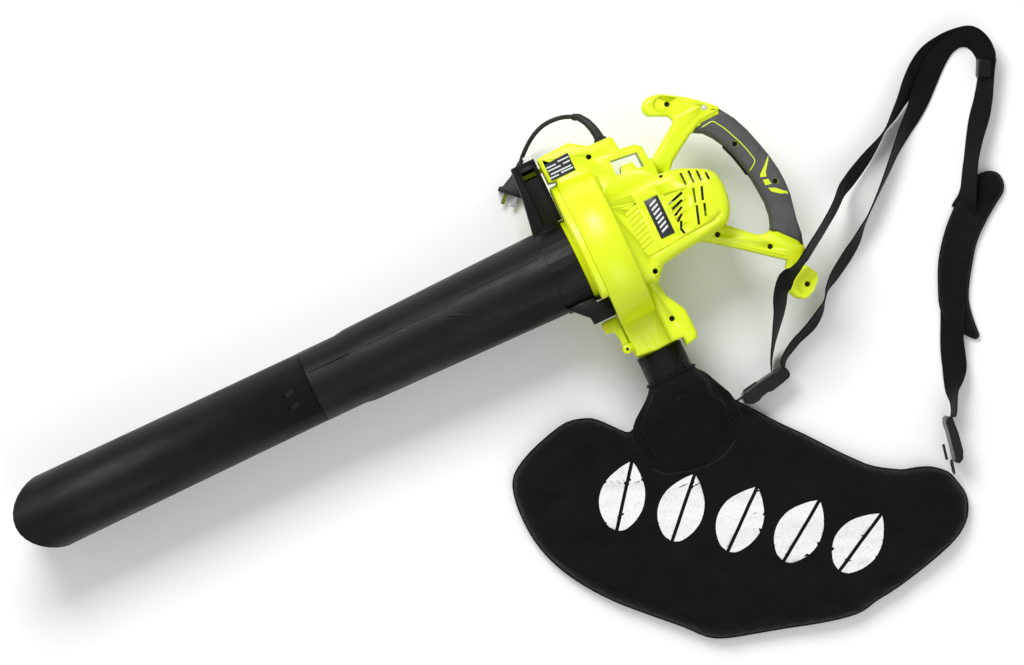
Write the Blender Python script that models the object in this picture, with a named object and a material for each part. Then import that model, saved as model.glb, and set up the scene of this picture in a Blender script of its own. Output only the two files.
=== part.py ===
"""Leaf vacuum mulcher lying on its right side: metres, +Z up, +X from the suction tube to the handle.

The machine's motor axis runs along X at y = 0 and z = AXIS_Z. The casing halves meet at z = AXIS_Z.
The collecting bag, its shoulder strap and the plug lie on the ground, z = 0.
At the end everything is shifted so that the origin is at the bottom centre of the machine.
"""
from math import asin, atan2, cos, pi, radians, sin

import bmesh
import bpy
from mathutils import Matrix, Vector

MM = 0.001
GAP = 0.0003                 # clearance between pieces that touch

# ---- driving dimensions -------------------------------------------------------------------
VOLUTE_R = 0.118             # outer radius of the fan casing
VOLUTE_FRONT = -0.013
VOLUTE_BACK = 0.042
VOLUTE_WALL = 0.004
AXIS_Z = VOLUTE_R + 0.0004    # height of the motor axis, with the fan casing on the ground
WALL = 0.003                 # moulded wall of the casing
CASING_EDGE = 0.006          # radius of the casing's outer edges

MOTOR_HALF = 0.070           # half width of the motor housing
MOTOR_EDGE = 0.016           # radius of its rounded edge
MOTOR_ROOMS = ((0.0465, 0.082), (0.090, 0.112), (0.118, 0.158), (0.170, 0.220))
BOX_HALF = 0.036             # half width of the cable box above it
ARM_HALF = 0.019             # half width of the handle's arms
SKIRT_HALF = 0.030
GRIP_HALF = 0.0205           # half width of the soft grip
GRIP_SKIN = 0.0033           # thickness of the soft grip's skin
CORE_HALF = GRIP_HALF - GRIP_SKIN

TUBE_TIP = -0.948
TUBE_SEAM = -0.466           # where the lower tube leaves the upper one
TUBE_WALL = 0.0025
TUBE_LAP = 0.055             # length of lower tube held in the upper tube
TUBE_MOUTH = 0.053           # depth of the rounded mouth
LOWER_R_TIP = 0.0575
LOWER_R_SEAM = 0.0548
UPPER_R_SEAM = 0.0552
UPPER_R_TOP = 0.0645
TUBE_END = -0.0330           # the upper tube stops short of the inlet ring
INLET_R = 0.065              # outer radius of the inlet ring
INLET_BORE = 0.050
INLET_FACE = -0.0318

DUCT_X = 0.0225              # centre of the outlet duct
DUCT_DROP = 0.040            # how far the outlet duct lies below the motor axis
DUCT_HALF_X = 0.0355
DUCT_HALF_Z = 0.042
DUCT_WALL = 0.0027
DUCT_TOP = -0.1712           # where the duct meets the casing
DUCT_END = -0.250
SPIGOT_END = -0.192

SHAFT_R = 0.005
BEARING_R = 0.013
BEARING_W = 0.008
STATOR_R = 0.041
STATOR_BORE = 0.0265
ARMATURE_R = 0.0255
IMPELLER_R = 0.100
COOLING_FAN_R = 0.040

SCREW_HEAD_R = 0.0037
SCREW_R = 0.0019
SCREW_LENGTH = 0.024
SCREW_SEAT = 0.008           # height of a screw's seat above the casing's parting plane
SCREW_WELL_R = 0.0046
BOSS_R = 0.0068

CORD_D = 0.007
PLUG_Z = 0.0135              # height of the plug's axis as it lies on the ground
WEBBING = 0.038              # width of the strap's webbing
WEBBING_T = 0.0018
PAD_T = 0.011
BAG_H = 0.056                # thickness of the bag as it lies
BAG_WALL = 0.0025
HOOK_Z = 0.024
RING_BACK = 0.0029           # from a hook's tip back to the centre of its bag ring

LIME = ("lime_plastic", (0.62, 0.76, 0.01), 0.42, 0.0)
BLACK = ("black_plastic", (0.012, 0.012, 0.013), 0.38, 0.0)
GREY = ("grip_rubber", (0.06, 0.06, 0.063), 0.75, 0.0)
CREAM = ("cream_plastic", (0.78, 0.78, 0.74), 0.45, 0.0)
STEEL = ("steel", (0.55, 0.55, 0.56), 0.3, 1.0)
COPPER = ("copper", (0.72, 0.36, 0.2), 0.35, 1.0)
ALLOY = ("cast_alloy", (0.6, 0.61, 0.62), 0.45, 1.0)
CARBON = ("carbon", (0.03, 0.03, 0.03), 0.7, 0.0)
CLOTH = ("bag_cloth", (0.012, 0.012, 0.013), 0.9, 0.0)
STRAP = ("webbing", (0.015, 0.015, 0.017), 0.85, 0.0)
LENS = ("lens", (0.75, 0.78, 0.8), 0.2, 0.0)


def mm(*pairs):
    """Outline points given in millimetres."""
    return [(x * MM, y * MM) for x, y in pairs]


# ---- outlines in plan, anticlockwise ------------------------------------------------------
MOTOR = mm((20, -60), (48, -75), (62, -80), (80, -60), (110, -55), (140, -52), (190, -45),
           (195, -40), (202, -30), (206, -20), (209, -5), (210, 12), (208, 25), (205, 33),
           (195, 42), (180, 50), (165, 57), (148, 62), (120, 66), (20, 66))
BOX = mm((-10, 60), (133, 60), (133, 90), (128, 92), (127, 112), (118, 120), (95, 123),
         (93, 140), (90, 146), (55, 147), (30, 164), (-20, 162), (-22, 158),
          (-22, 122), (-10, 120))
BOX_ROOM = mm((-17, 123), (46, 123), (46, 70), (129, 70), (129, 79), (118, 80.5), (70.5, 86.5),
              (70.5, 116.5), (91, 115), (90, 138), (86, 142), (53, 142.5), (28, 158), (-17, 156))
SKIRT = mm((42, -62), (62, -80), (65, -102), (75, -120), (82, -133), (83, -170), (80, -179),
           (61, -182), (61, -169), (42, -168))
OUTLET = mm((-13, -40), (-13, -166), (20, -170), (46, -168), (46, -40))
UPPER_ARM = mm((118, 58), (148, 60), (160, 73), (200, 98), (205, 99), (222, 109), (250, 110),
               (256, 114), (255, 118), (240, 133), (220, 150), (200, 163), (185, 172), (170, 175),
               (160, 174), (152, 167), (151, 157), (155, 150), (170, 143), (182, 137), (186, 128),
               (180, 122), (133, 90), (118, 88))
LOWER_ARM = mm((150, -38), (138, -50), (155, -57), (200, -92), (250, -132), (240, -148),
               (230, -156), (231, -174), (237, -187), (245, -194), (255, -196), (268, -190),
               (280, -178), (283, -168), (277, -158), (270, -148), (277, -133), (281, -130),
               (282, -122), (246, -81), (236, -82), (225, -78), (190, -45))
GRIP = mm((246, -81), (282, -122), (287, -105), (289, -85), (293, -65), (297, -45), (298, -25),
          (297, -5), (293, 20), (288, 40), (280, 68), (270, 92), (256, 114), (250, 110),
          (222, 109), (205, 99), (218, 92), (228, 80), (237, 64), (245, 42), (250, 22), (254, 0),
          (256, -20), (257, -40), (255, -60), (250, -75))
GRIP_ENDED = mm((241, -97), (266, -131), (282, -122), *[(x / MM, y / MM) for x, y in GRIP[2:12]],
                (256, 114), (244, 128), (214, 119), (203, 107),
                *[(x / MM, y / MM) for x, y in GRIP[16:]])
TRIGGER = mm((235.6, 61), (242.6, 41), (247.6, 21), (250.2, 8), (259, 10), (256.5, 24),
             (251.5, 45), (244.5, 64))
TRIGGER_SLOT = mm((231, 63), (238, 40), (243, 20), (246, 5), (266, 5), (263.5, 25), (256, 48),
                  (246, 67))
TRIGGER_PIVOT = (0.2405, 0.060)
WINDOW = mm((74, 90), (82, 88.6), (86, 99), (103, 98), (107, 85.5), (117, 84), (116, 108), (74, 113))
COLLAR_TOP = mm((-76, 58), (-32.6, 58), (-32.6, 67), (-26, 67), (-26, 165), (-63, 165), (-66, 118))
COLLAR_BOTTOM = mm((-77, -58), (-50, -85), (-49, -96), (-14.5, -96), (-14.5, -67.5), (-32.6, -67.5),
                   (-32.6, -58))
TONGUE = mm((-52, 141.5), (-10, 141.5), (-10, 148.5), (-52, 148.5), (-54, 145))
TONGUE_ROOM = mm((-58, 130), (-20, 130), (-20, 159), (-58, 159))
LATCH = mm((-39, -117), (-27, -119), (-24, -134), (-26, -146), (-24, -156), (-16, -158), (-13.6, -152),
           (-13.6, -140), (-14.5, -132), (-14.5, -99), (-36, -99), (-40, -101))
LATCH_PIVOT = (-0.0205, -0.150)
BAG = mm((-62, -262), (-105, -228), (-150, -214), (-240, -240), (-264, -272), (-270, -330),
         (-262, -385), (-230, -450), (-160, -530), (-90, -602), (-30, -626), (60, -652),
         (135, -664), (220, -652), (310, -627), (346, -596), (347, -562), (324, -520),
         (255, -482), (200, -425), (136, -356), (88, -300), (72, -262))
PAD = mm((555, -150), (520, -176), (482, -216), (452, -262), (433, -300), (447, -343),
         (462, -358), (468, -330), (490, -272), (515, -240), (547, -210), (588, -182),
         (598, -162), (588, -144), (570, -140))

LENS_PLACE = (0.2355, 0.125, 0.004)      # x, y and radius of the indicator

# screw places and the height of the casing's roof above the parting plane there
SCREWS = [(0.049, 0.132, BOX_HALF), (0.135, 0.062, ARM_HALF), (0.064, -0.063, MOTOR_HALF),
          (0.058, -0.137, SKIRT_HALF), (0.173, -0.0535, ARM_HALF), (0.236, -0.103, ARM_HALF),
          (0.188, 0.1535, ARM_HALF), (0.262, -0.177, ARM_HALF), (0.254, 0.057, CORE_HALF),
          (0.2845, -0.0185, CORE_HALF)]

# the cord's centreline from the strain relief to the plug
CORD_ROUTE = [(0.0546, 0.1975, 0.1075), (0.0480, 0.2012, 0.1045), (0.0395, 0.2044, 0.0990),
              (0.0350, 0.2056, 0.0954), (0.0300, 0.2065, 0.0915), (0.0200, 0.2074, 0.0825), (0.0100, 0.2068, 0.0725),
              (0.0010, 0.2046, 0.0625), (-0.0075, 0.2012, 0.0520), (-0.0155, 0.1968, 0.0415),
              (-0.0225, 0.1920, 0.0320), (-0.0290, 0.1868, 0.0240), (-0.0350, 0.1816, 0.0175),
              (-0.0391, 0.1772, PLUG_Z), (-0.0425, 0.1735, PLUG_Z)]
PLUG_TURN = atan2(-0.735, -0.678)
BOOT_ROUTE = [(0.0765, 0.1500, AXIS_Z), (0.0757, 0.1600, AXIS_Z), (0.0735, 0.1710, 0.1180),
              (0.0698, 0.1816, 0.1162), (0.0627, 0.19295, 0.1112), (0.05484, 0.19736, 0.10761)]

# the strap's centrelines: x, y, z and the webbing's roll in degrees (0 is flat, 90 on edge)
STRAP_OVER = [(162, -272, 24, 90), (168, -260, 34, 88), (180, -238, 66, 72), (200, -205, 118, 42),
              (222, -174, 147, 12), (240, -157, 149, 4), (262, -147, 148, 0), (288, -134, 148, 12),
              (310, -119, 136, 40), (335, -101, 102, 66), (360, -83, 66, 80), (385, -67, 40, 86),
              (415, -51, 27, 88), (445, -36, 24, 88), (475, -19, 24, 88), (505, -1, 24, 80),
              (530, 19, 29, 50), (555, 36, 25, 22), (580, 47, 18, 8), (610, 52, 14, 4),
              (634, 50, 14, 6), (650, 41, 16, 8), (657, 27, 16, 6)]
STRAP_UNDER = [(177, -272, 24, 90), (187, -262, 22, 88), (202, -252, 21, 80), (235, -241, 20, 78),
               (262, -228, 20, 84), (280, -207, 20, 88), (300, -188, 20, 86), (330, -172, 20, 88),
               (360, -154, 20, 88), (400, -120, 20, 88), (430, -96, 20, 90), (460, -70, 20, 97),
               (490, -44, 18.5, 118), (520, -17, 13, 146), (545, 5, 7.5, 166), (572, 24, 5, 174),
               (600, 34, 3.4, 178), (622, 33, 3.4, 178), (636, 20, 4.4, 176), (641, 6, 6, 174)]
STRAP_SINGLE = [(641, -17, 6, 0), (632, -31, 8, 10), (618, -50, 14, 40), (600, -75, 17, 48),
                (584, -97, 18, 50), (571, -117, 16, 42), (562, -133, 13, 25), (556, -144, 14, 10)]
STRAP_LOWER = [(449, -352, 4, 0), (438, -364, 4, 0), (425, -378, 5, 4), (410, -395, 7, 16),
               (397, -414, 12, 35), (388, -432, 18, 60), (380, -448, 23, 80), (374, -460, 24, 90)]


# ---- mesh helpers -------------------------------------------------------------------------
def signed_area(outline):
    pairs = zip(outline, outline[1:] + outline[:1])
    return sum(a[0] * b[1] - b[0] * a[1] for a, b in pairs) / 2


def inset(outline, distance):
    """The outline moved inwards by distance, with mitred corners."""
    points = [Vector(p) for p in outline]
    if signed_area(outline) < 0:
        points.reverse()
    moved = []
    for i, point in enumerate(points):
        before = (point - points[i - 1]).normalized()
        after = (points[(i + 1) % len(points)] - point).normalized()
        left_before, left_after = Vector((-before.y, before.x)), Vector((-after.y, after.x))
        scale = distance / max(1 + left_before.dot(left_after), 0.35)
        moved.append(point + (left_before + left_after) * scale)
    return [(p.x, p.y) for p in moved]


def clip_x(outline, low, high):
    """The part of the outline between two values of x."""
    for limit, keep in ((low, 1), (high, -1)):
        kept = []
        for a, b in zip(outline, outline[1:] + outline[:1]):
            inside_a, inside_b = (a[0] - limit) * keep >= 0, (b[0] - limit) * keep >= 0
            if inside_a:
                kept.append(a)
            if inside_a != inside_b:
                share = (limit - a[0]) / (b[0] - a[0])
                kept.append((limit, a[1] + share * (b[1] - a[1])))
        outline = kept
    return outline


def rings_to_solid(rings, closed=False):
    """Joins rings of points with as many points each. The ends get caps unless the run is closed."""
    bm = bmesh.new()
    loops = [[bm.verts.new(p) for p in ring] for ring in rings]
    count = len(loops[0])
    follow = loops[1:] + (loops[:1] if closed else [])
    for a, b in zip(loops, follow):
        for i in range(count):
            j = (i + 1) % count
            bm.faces.new((a[i], a[j], b[j], b[i]))
    if not closed:
        bm.faces.new(list(reversed(loops[0])))
        bm.faces.new(loops[-1])
    bmesh.ops.recalc_face_normals(bm, faces=bm.faces)
    return bm


def slab(outline, levels):
    """A solid built up from levels (z, inset) of one outline."""
    return rings_to_solid([[(x, y, z) for x, y in inset(outline, d)] for z, d in levels])


def half_levels(side, half, edge, low=GAP / 2, steps=2):
    """Levels from the parting plane out to half, with a rounded edge."""
    levels = [(low, 0.0), (half - edge, 0.0)]
    for k in range(1, steps + 1):
        turn = pi / 2 * k / steps
        levels.append((half - edge + edge * sin(turn), edge * (1 - cos(turn))))
    return [(AXIS_Z + side * z, d) for z, d in levels]


def half_slab(side, outline, half, edge, low=GAP / 2, steps=2):
    return slab(outline, half_levels(side, half, edge, low, steps))


def turned(profile, closed=True, segments=32, centre=(0.0, 0.0), stretch=1.0):
    """A profile of (x, radius) turned about X. A closed profile is a ring, an open one a solid."""
    turns = [2 * pi * k / segments for k in range(segments)]

    def spot(x, r, turn):
        return (x, centre[0] + r * cos(turn), centre[1] + r * stretch * sin(turn))

    if closed:
        return rings_to_solid([[spot(x, r, t) for x, r in profile] for t in turns], closed=True)
    return rings_to_solid([[spot(x, r, t) for t in turns] for x, r in profile])


def on_axis(profile, closed=True, segments=32):
    """A turned piece on the motor axis."""
    return turned(profile, closed, segments, centre=(0.0, AXIS_Z))


def box(low, high):
    outline = [(low[0], low[1]), (high[0], low[1]), (high[0], high[1]), (low[0], high[1])]
    return slab(outline, [(low[2], 0), (high[2], 0)])


def post(x, y, low, high, radius, segments=8):
    """An upright cylinder between two heights."""
    ring = [(x + radius * cos(2 * pi * k / segments), y + radius * sin(2 * pi * k / segments))
            for k in range(segments)]
    return slab(ring, [(low, 0), (high, 0)])


def swept(points, radii, segments=12):
    """A round bar along points, with a radius at each."""
    points = [Vector(p) for p in points]
    rings = []
    side = None
    for i, point in enumerate(points):
        ahead = (points[min(i + 1, len(points) - 1)] - points[max(i - 1, 0)]).normalized()
        if side is None:
            side = ahead.cross(Vector((0, 0, 1)) if abs(ahead.z) < 0.9 else Vector((1, 0, 0)))
        side = (side - ahead * side.dot(ahead)).normalized()
        up = ahead.cross(side)
        rings.append([point + (side * cos(2 * pi * k / segments) + up * sin(2 * pi * k / segments))
                      * radii[i] for k in range(segments)])
    return rings_to_solid(rings)


def ribbon(stations):
    """Webbing along stations (x, y, z, roll in degrees), the first three in millimetres."""
    points = [Vector((x, y, z)) * MM for x, y, z, _ in stations]
    rings = []
    for i, point in enumerate(points):
        ahead = (points[min(i + 1, len(points) - 1)] - points[max(i - 1, 0)]).normalized()
        flat = Vector((-ahead.y, ahead.x, 0)).normalized()
        roll = radians(stations[i][3])
        across = flat * cos(roll) + flat.cross(ahead) * -sin(roll)
        through = ahead.cross(across).normalized() * WEBBING_T / 2
        across = across * WEBBING / 2
        rings.append([point + across + through, point + across - through,
                      point - across - through, point - across + through])
    bm = bmesh.new()
    rows = [[bm.verts.new(corner) for corner in ring] for ring in rings]
    bm.faces.new(rows[0])
    bm.faces.new(rows[-1][::-1])
    for a, b in zip(rows, rows[1:]):
        # both broad sides fold along the same diagonal, so that they stay a thickness apart
        for corners in ((a[0], b[0], b[1], a[1]), (a[1], b[1], b[2]), (a[1], b[2], a[2]),
                        (a[2], b[2], b[3], a[3]), (a[3], b[3], a[0]), (a[0], b[3], b[0])):
            bm.faces.new(corners)
    bmesh.ops.recalc_face_normals(bm, faces=bm.faces)
    return bm


def merged(*meshes):
    """Several closed meshes as one, for a cutter or a group that does not touch itself."""
    joined = bmesh.new()
    for bm in meshes:
        mesh = bpy.data.meshes.new("scratch")
        bm.to_mesh(mesh)
        bm.free()
        joined.from_mesh(mesh)
        bpy.data.meshes.remove(mesh)
    return joined


# ---- object helpers -----------------------------------------------------------------------
def material(kind):
    name, colour, roughness, metallic = kind
    if name in bpy.data.materials:
        return bpy.data.materials[name]
    made = bpy.data.materials.new(name)
    made.use_nodes = True
    shader = made.node_tree.nodes["Principled BSDF"]
    shader.inputs["Base Color"].default_value = (*colour, 1)
    shader.inputs["Roughness"].default_value = roughness
    shader.inputs["Metallic"].default_value = metallic
    return made


def solid(name, bm, kind, pivot=(0, 0, 0)):
    """A named object whose origin is at its pivot."""
    bmesh.ops.translate(bm, verts=bm.verts, vec=-Vector(pivot))
    mesh = bpy.data.meshes.new(name)
    bm.to_mesh(mesh)
    bm.free()
    mesh.shade_smooth()
    mesh.set_sharp_from_angle(angle=radians(35))
    mesh.materials.append(material(kind))
    made = bpy.data.objects.new(name, mesh)
    made.location = pivot
    made.parent = ROOT
    bpy.context.collection.objects.link(made)
    return made


def helper(bm):
    mesh = bpy.data.meshes.new("tool")
    bm.to_mesh(mesh)
    bm.free()
    made = bpy.data.objects.new("tool", mesh)
    made.hide_render = True
    made.display_type = "WIRE"
    made.parent = ROOT
    bpy.context.collection.objects.link(made)
    return made


def boolean(target, operation, meshes, solver):
    """Unites or cuts, with the solver that copes with the target: MANIFOLD on the casing's many levels."""
    for bm in meshes:
        change = target.modifiers.new(operation.lower(), "BOOLEAN")
        change.operation = operation
        change.solver = solver
        change.object = helper(bm)


def join(target, *meshes, solver="EXACT"):
    boolean(target, "UNION", meshes, solver)


def cut(target, *meshes, solver="EXACT"):
    boolean(target, "DIFFERENCE", meshes, solver)


# ---- casing -------------------------------------------------------------------------------
def half_drum(side, stations, segments=25):
    """Half of a drum on the motor axis, cut at the parting plane."""
    rings = []
    for x, r in stations:
        start = asin(GAP / 2 / r)
        angles = [start + (pi - 2 * start) * k / segments for k in range(segments + 1)]
        rings.append([(x, r * cos(a), AXIS_Z + side * r * sin(a)) for a in angles])
    return rings_to_solid(rings)


def ellipse_bar(y_stations, segments=24):
    """A bar along Y through stations (y, centre x, centre z, half width, half height)."""
    rings = [[(cx + hx * cos(2 * pi * k / segments), y, cz + hz * sin(2 * pi * k / segments))
              for k in range(segments)] for y, cx, cz, hx, hz in y_stations]
    return rings_to_solid(rings)


def duct_bar(y_from, y_to, grow):
    """A bar along the outlet duct's axis, grown from its outside by a distance."""
    place = (DUCT_X, AXIS_Z - DUCT_DROP, DUCT_HALF_X + grow, DUCT_HALF_Z + grow)
    return ellipse_bar([(y_from, *place), (y_to, *place)])


def vent(x0, y0, x1, y1, width, side):
    """A slot through the motor housing's roof, from one point to another."""
    along = Vector((x1 - x0, y1 - y0)).normalized() * width / 2
    over = Vector((-along.y, along.x))
    a, b = Vector((x0, y0)), Vector((x1, y1))
    outline = [tuple(a - along - over), tuple(b + along - over), tuple(b + along + over),
               tuple(a - along + over)]
    low, high = AXIS_Z + side * MOTOR_HALF * 0.55, AXIS_Z + side * (MOTOR_HALF + 0.01)
    return slab(outline, [(low, 0), (high, 0)])


def vents(side):
    """The slanted side louvres and the short slots round the rear of the motor."""
    slots = []
    for k in range(6):
        y = 0.024 - 0.0095 * k
        right = 0.150 - 0.0045 * k
        slots.append(vent(0.126, y - 0.006, right - 0.003, y, 0.0036, side))
    for x, top, bottom in ((159, 50, 34), (171, 48, 32), (182, 43, 30), (193, 35, 27)):
        slots.append(vent(x * MM, bottom * MM, x * MM, top * MM, 0.0036, side))
    for x, y, dx, dy in ((166, 22, -5, -18), (178, 19, -6, -16), (159.5, -3, -8, -24), (171, -5, -5, -15)):
        slots.append(vent((x + dx) * MM, (y + dy) * MM, x * MM, y * MM, 0.0036, side))
    return merged(*slots)


def casing_outer(side, body):
    """The fan casing's half drum grows the motor housing, the cable box, the handle and the outlet."""
    pieces = [half_slab(side, MOTOR, MOTOR_HALF, MOTOR_EDGE, steps=3),
              half_slab(side, BOX, BOX_HALF, CASING_EDGE), half_slab(side, SKIRT, SKIRT_HALF, CASING_EDGE),
              half_slab(side, UPPER_ARM, ARM_HALF, CASING_EDGE),
              half_slab(side, LOWER_ARM, ARM_HALF, CASING_EDGE),
              half_slab(side, inset(GRIP_ENDED, GRIP_SKIN), CORE_HALF, CASING_EDGE),
              half_slab(side, TONGUE, 0.008, 0.001)]
    if side > 0:
        pieces.append(half_slab(side, OUTLET, 0.010, 0.004))
    else:
        pieces.append(half_slab(side, OUTLET, DUCT_DROP + DUCT_HALF_Z, 0.012))
        pieces.append(duct_bar(-0.150, SPIGOT_END, -DUCT_WALL - 2 * GAP))
    join(body, *pieces, solver="MANIFOLD")


def casing_rooms(side, body):
    """Hollows for the impeller, the fan, the motor, the carbon brushes, the cable and the switch."""
    low = -0.002
    drum_room = VOLUTE_R - VOLUTE_WALL
    rooms = [on_axis([(VOLUTE_FRONT + VOLUTE_WALL, drum_room), (VOLUTE_BACK - VOLUTE_WALL, drum_room)],
                     closed=False, segments=40),
             on_axis([(VOLUTE_FRONT - 0.02, INLET_BORE), (VOLUTE_FRONT + 0.02, INLET_BORE)],
                     closed=False, segments=28),
             half_slab(side, BOX_ROOM, BOX_HALF - WALL, 0.004, low, steps=1),
             half_slab(side, inset(UPPER_ARM, WALL), ARM_HALF - WALL, 0.003, low, steps=1),
             half_slab(side, inset(LOWER_ARM, WALL), ARM_HALF - WALL, 0.003, low, steps=1),
             half_slab(side, inset(SKIRT, WALL), SKIRT_HALF - WALL, 0.003, low, steps=1),
             half_slab(side, inset(GRIP_ENDED, GRIP_SKIN + WALL), CORE_HALF - WALL, 0.004, low, steps=1)]
    for start, end in MOTOR_ROOMS:
        levels = half_levels(side, MOTOR_HALF - WALL, MOTOR_EDGE, low, steps=2)
        rings = [[(x, y, z) for x, y in clip_x(inset(MOTOR, WALL + d), start, end)] for z, d in levels]
        rooms.append(rings_to_solid(rings))
    if side < 0:
        rooms.append(half_slab(side, inset(OUTLET, WALL), DUCT_DROP + DUCT_HALF_Z - WALL, 0.010, low))
        rooms.append(duct_bar(-0.140, SPIGOT_END - 0.01, -2 * DUCT_WALL - 2 * GAP))
    cut(body, *rooms, solver="MANIFOLD")


def casing_bosses(side, body):
    """Pillars for the screws, from just off the parting plane up into the roof."""
    posts = [post(x, y, AXIS_Z + side * 0.0004, AXIS_Z + side * (roof - 0.0016), BOSS_R)
             for x, y, roof in SCREWS]
    join(body, merged(*posts), solver="MANIFOLD")


def casing_holes(side, body):
    wells, far = [], SCREW_LENGTH - SCREW_SEAT + 0.002
    for x, y, roof in SCREWS:
        wells.append(post(x, y, AXIS_Z + SCREW_SEAT - GAP, AXIS_Z + roof + 0.02, SCREW_WELL_R))
    shanks = [post(x, y, AXIS_Z - far, AXIS_Z + SCREW_SEAT + 0.001, SCREW_R + GAP, 10)
              for x, y, _ in SCREWS]
    bores = [on_axis([(x0, r + GAP), (x1, r + GAP)], closed=False, segments=n)
             for x0, x1, r, n in ((0.030, 0.050, BEARING_R, 20), (0.075, 0.125, STATOR_R, 28),
                                  (0.150, 0.175, BEARING_R, 20))]
    cuts = [merged(*shanks), *bores, half_slab(side, WINDOW, BOX_HALF + 0.02, 0.001, low=-0.002),
            half_slab(side, TRIGGER_SLOT, 0.0078, 0.001, low=-0.002), vents(side)]
    if side > 0:
        cuts.append(merged(*wells))
        x, y, r = LENS_PLACE
        cuts.append(post(x, y, AXIS_Z + ARM_HALF - 0.005 - GAP, AXIS_Z + ARM_HALF + 0.01, r + GAP, 16))
    cut(body, *cuts, solver="MANIFOLD")


def latch_lugs(side, body):
    """Two ears that carry the latch's pin in front of the fan casing."""
    x, y = LATCH_PIVOT
    ear = [(x + 0.007 * cos(a), y + 0.007 * sin(a)) for a in [pi / 2 + pi * k / 8 for k in range(9)]]
    ear += [(VOLUTE_FRONT + 0.003, y - 0.007), (VOLUTE_FRONT + 0.003, y + 0.007)]
    low, high = (0.004, 0.0098) if side > 0 else (0.0302, 0.037)
    join(body, slab(ear, [(AXIS_Z + side * low, 0), (AXIS_Z + side * high, 0)]), solver="MANIFOLD")
    cut(body, post(x, y, AXIS_Z + side * (low - 0.002), AXIS_Z + side * (high + 0.002), 0.0023),
        solver="MANIFOLD")


def casing(side):
    stations = [(VOLUTE_FRONT, VOLUTE_R - 0.002), (VOLUTE_FRONT + 0.002, VOLUTE_R),
                (VOLUTE_BACK - 0.002, VOLUTE_R), (VOLUTE_BACK, VOLUTE_R - 0.002)]
    body = solid("casing_left" if side > 0 else "casing_right", half_drum(side, stations), LIME)
    casing_outer(side, body)
    casing_rooms(side, body)
    casing_bosses(side, body)
    casing_holes(side, body)
    latch_lugs(side, body)


def casing_trim():
    x, y, r = LENS_PLACE
    top = AXIS_Z + ARM_HALF
    ring = [(x + r * cos(2 * pi * k / 16), y + r * sin(2 * pi * k / 16)) for k in range(16)]
    solid("indicator_lens", slab(ring, [(top - 0.005, 0), (top - 0.0005, 0), (top + 0.0008, 0.0015)]), LENS)
    plate_z = AXIS_Z + BOX_HALF + GAP
    plate = mm((-16, 123), (23, 123), (23, 151), (-16, 149))
    solid("rating_plate", slab(plate, [(plate_z, 0), (plate_z + 0.0008, 0)]), BLACK)
    badge_z = AXIS_Z + MOTOR_HALF + GAP
    badge = mm((92, -24), (114, -24), (114, 37), (92, 37))
    solid("badge_plate", slab(badge, [(badge_z, 0), (badge_z + 0.001, 0), (badge_z + 0.0016, 0.001)]), BLACK)


def screws():
    for number, (x, y, _) in enumerate(SCREWS, 1):
        top = AXIS_Z + SCREW_SEAT
        profile = [(top - SCREW_LENGTH, 0.0008), (top - SCREW_LENGTH + 0.003, SCREW_R), (top, SCREW_R),
                   (top, SCREW_HEAD_R), (top + 0.0015, SCREW_HEAD_R * 0.8)]
        rings = [[(x + r * cos(2 * pi * k / 8), y + r * sin(2 * pi * k / 8), z) for k in range(8)]
                 for z, r in profile]
        solid(f"casing_screw_{number}", rings_to_solid(rings), STEEL)


# ---- grip, trigger and switch ----------------------------------------------------------------
def grip(side):
    name = "grip_left" if side > 0 else "grip_right"
    skin = solid(name, half_slab(side, inset(GRIP, GAP), GRIP_HALF, 0.008, steps=3), GREY)
    cut(skin, half_slab(side, inset(GRIP_ENDED, GRIP_SKIN - GAP), CORE_HALF + GAP, CASING_EDGE, low=-0.002))
    cut(skin, half_slab(side, TRIGGER_SLOT, 0.0082, 0.001, low=-0.002))
    if side > 0:
        cut(skin, merged(*[post(x, y, AXIS_Z, AXIS_Z + roof + 0.01, SCREW_WELL_R)
                           for x, y, roof in SCREWS[-2:]]))


def trigger():
    low, high = AXIS_Z - 0.007, AXIS_Z + 0.007
    levels = [(low, 0.001), (low + 0.001, 0), (high - 0.001, 0), (high, 0.001)]
    solid("trigger", slab(TRIGGER, levels), BLACK, pivot=(*TRIGGER_PIVOT, AXIS_Z))
    solid("power_switch", box((0.2685, 0.013, AXIS_Z - 0.009), (0.2790, 0.038, AXIS_Z + 0.009)), BLACK)


# ---- motor and impeller ----------------------------------------------------------------------
def bladed(name, hub, blades, kind):
    """A turned hub with separate blades united to it, on the motor axis."""
    made = solid(name, hub, kind, pivot=(0, 0, AXIS_Z))
    join(made, merged(*blades))
    return made


def blade(x0, x1, r0, r1, thick, turn):
    bm = box((x0, r0, -thick / 2), (x1, r1, thick / 2))
    bmesh.ops.rotate(bm, verts=bm.verts, matrix=Matrix.Rotation(turn, 3, "X"))
    bmesh.ops.translate(bm, verts=bm.verts, vec=(0, 0, AXIS_Z))
    return bm


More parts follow.
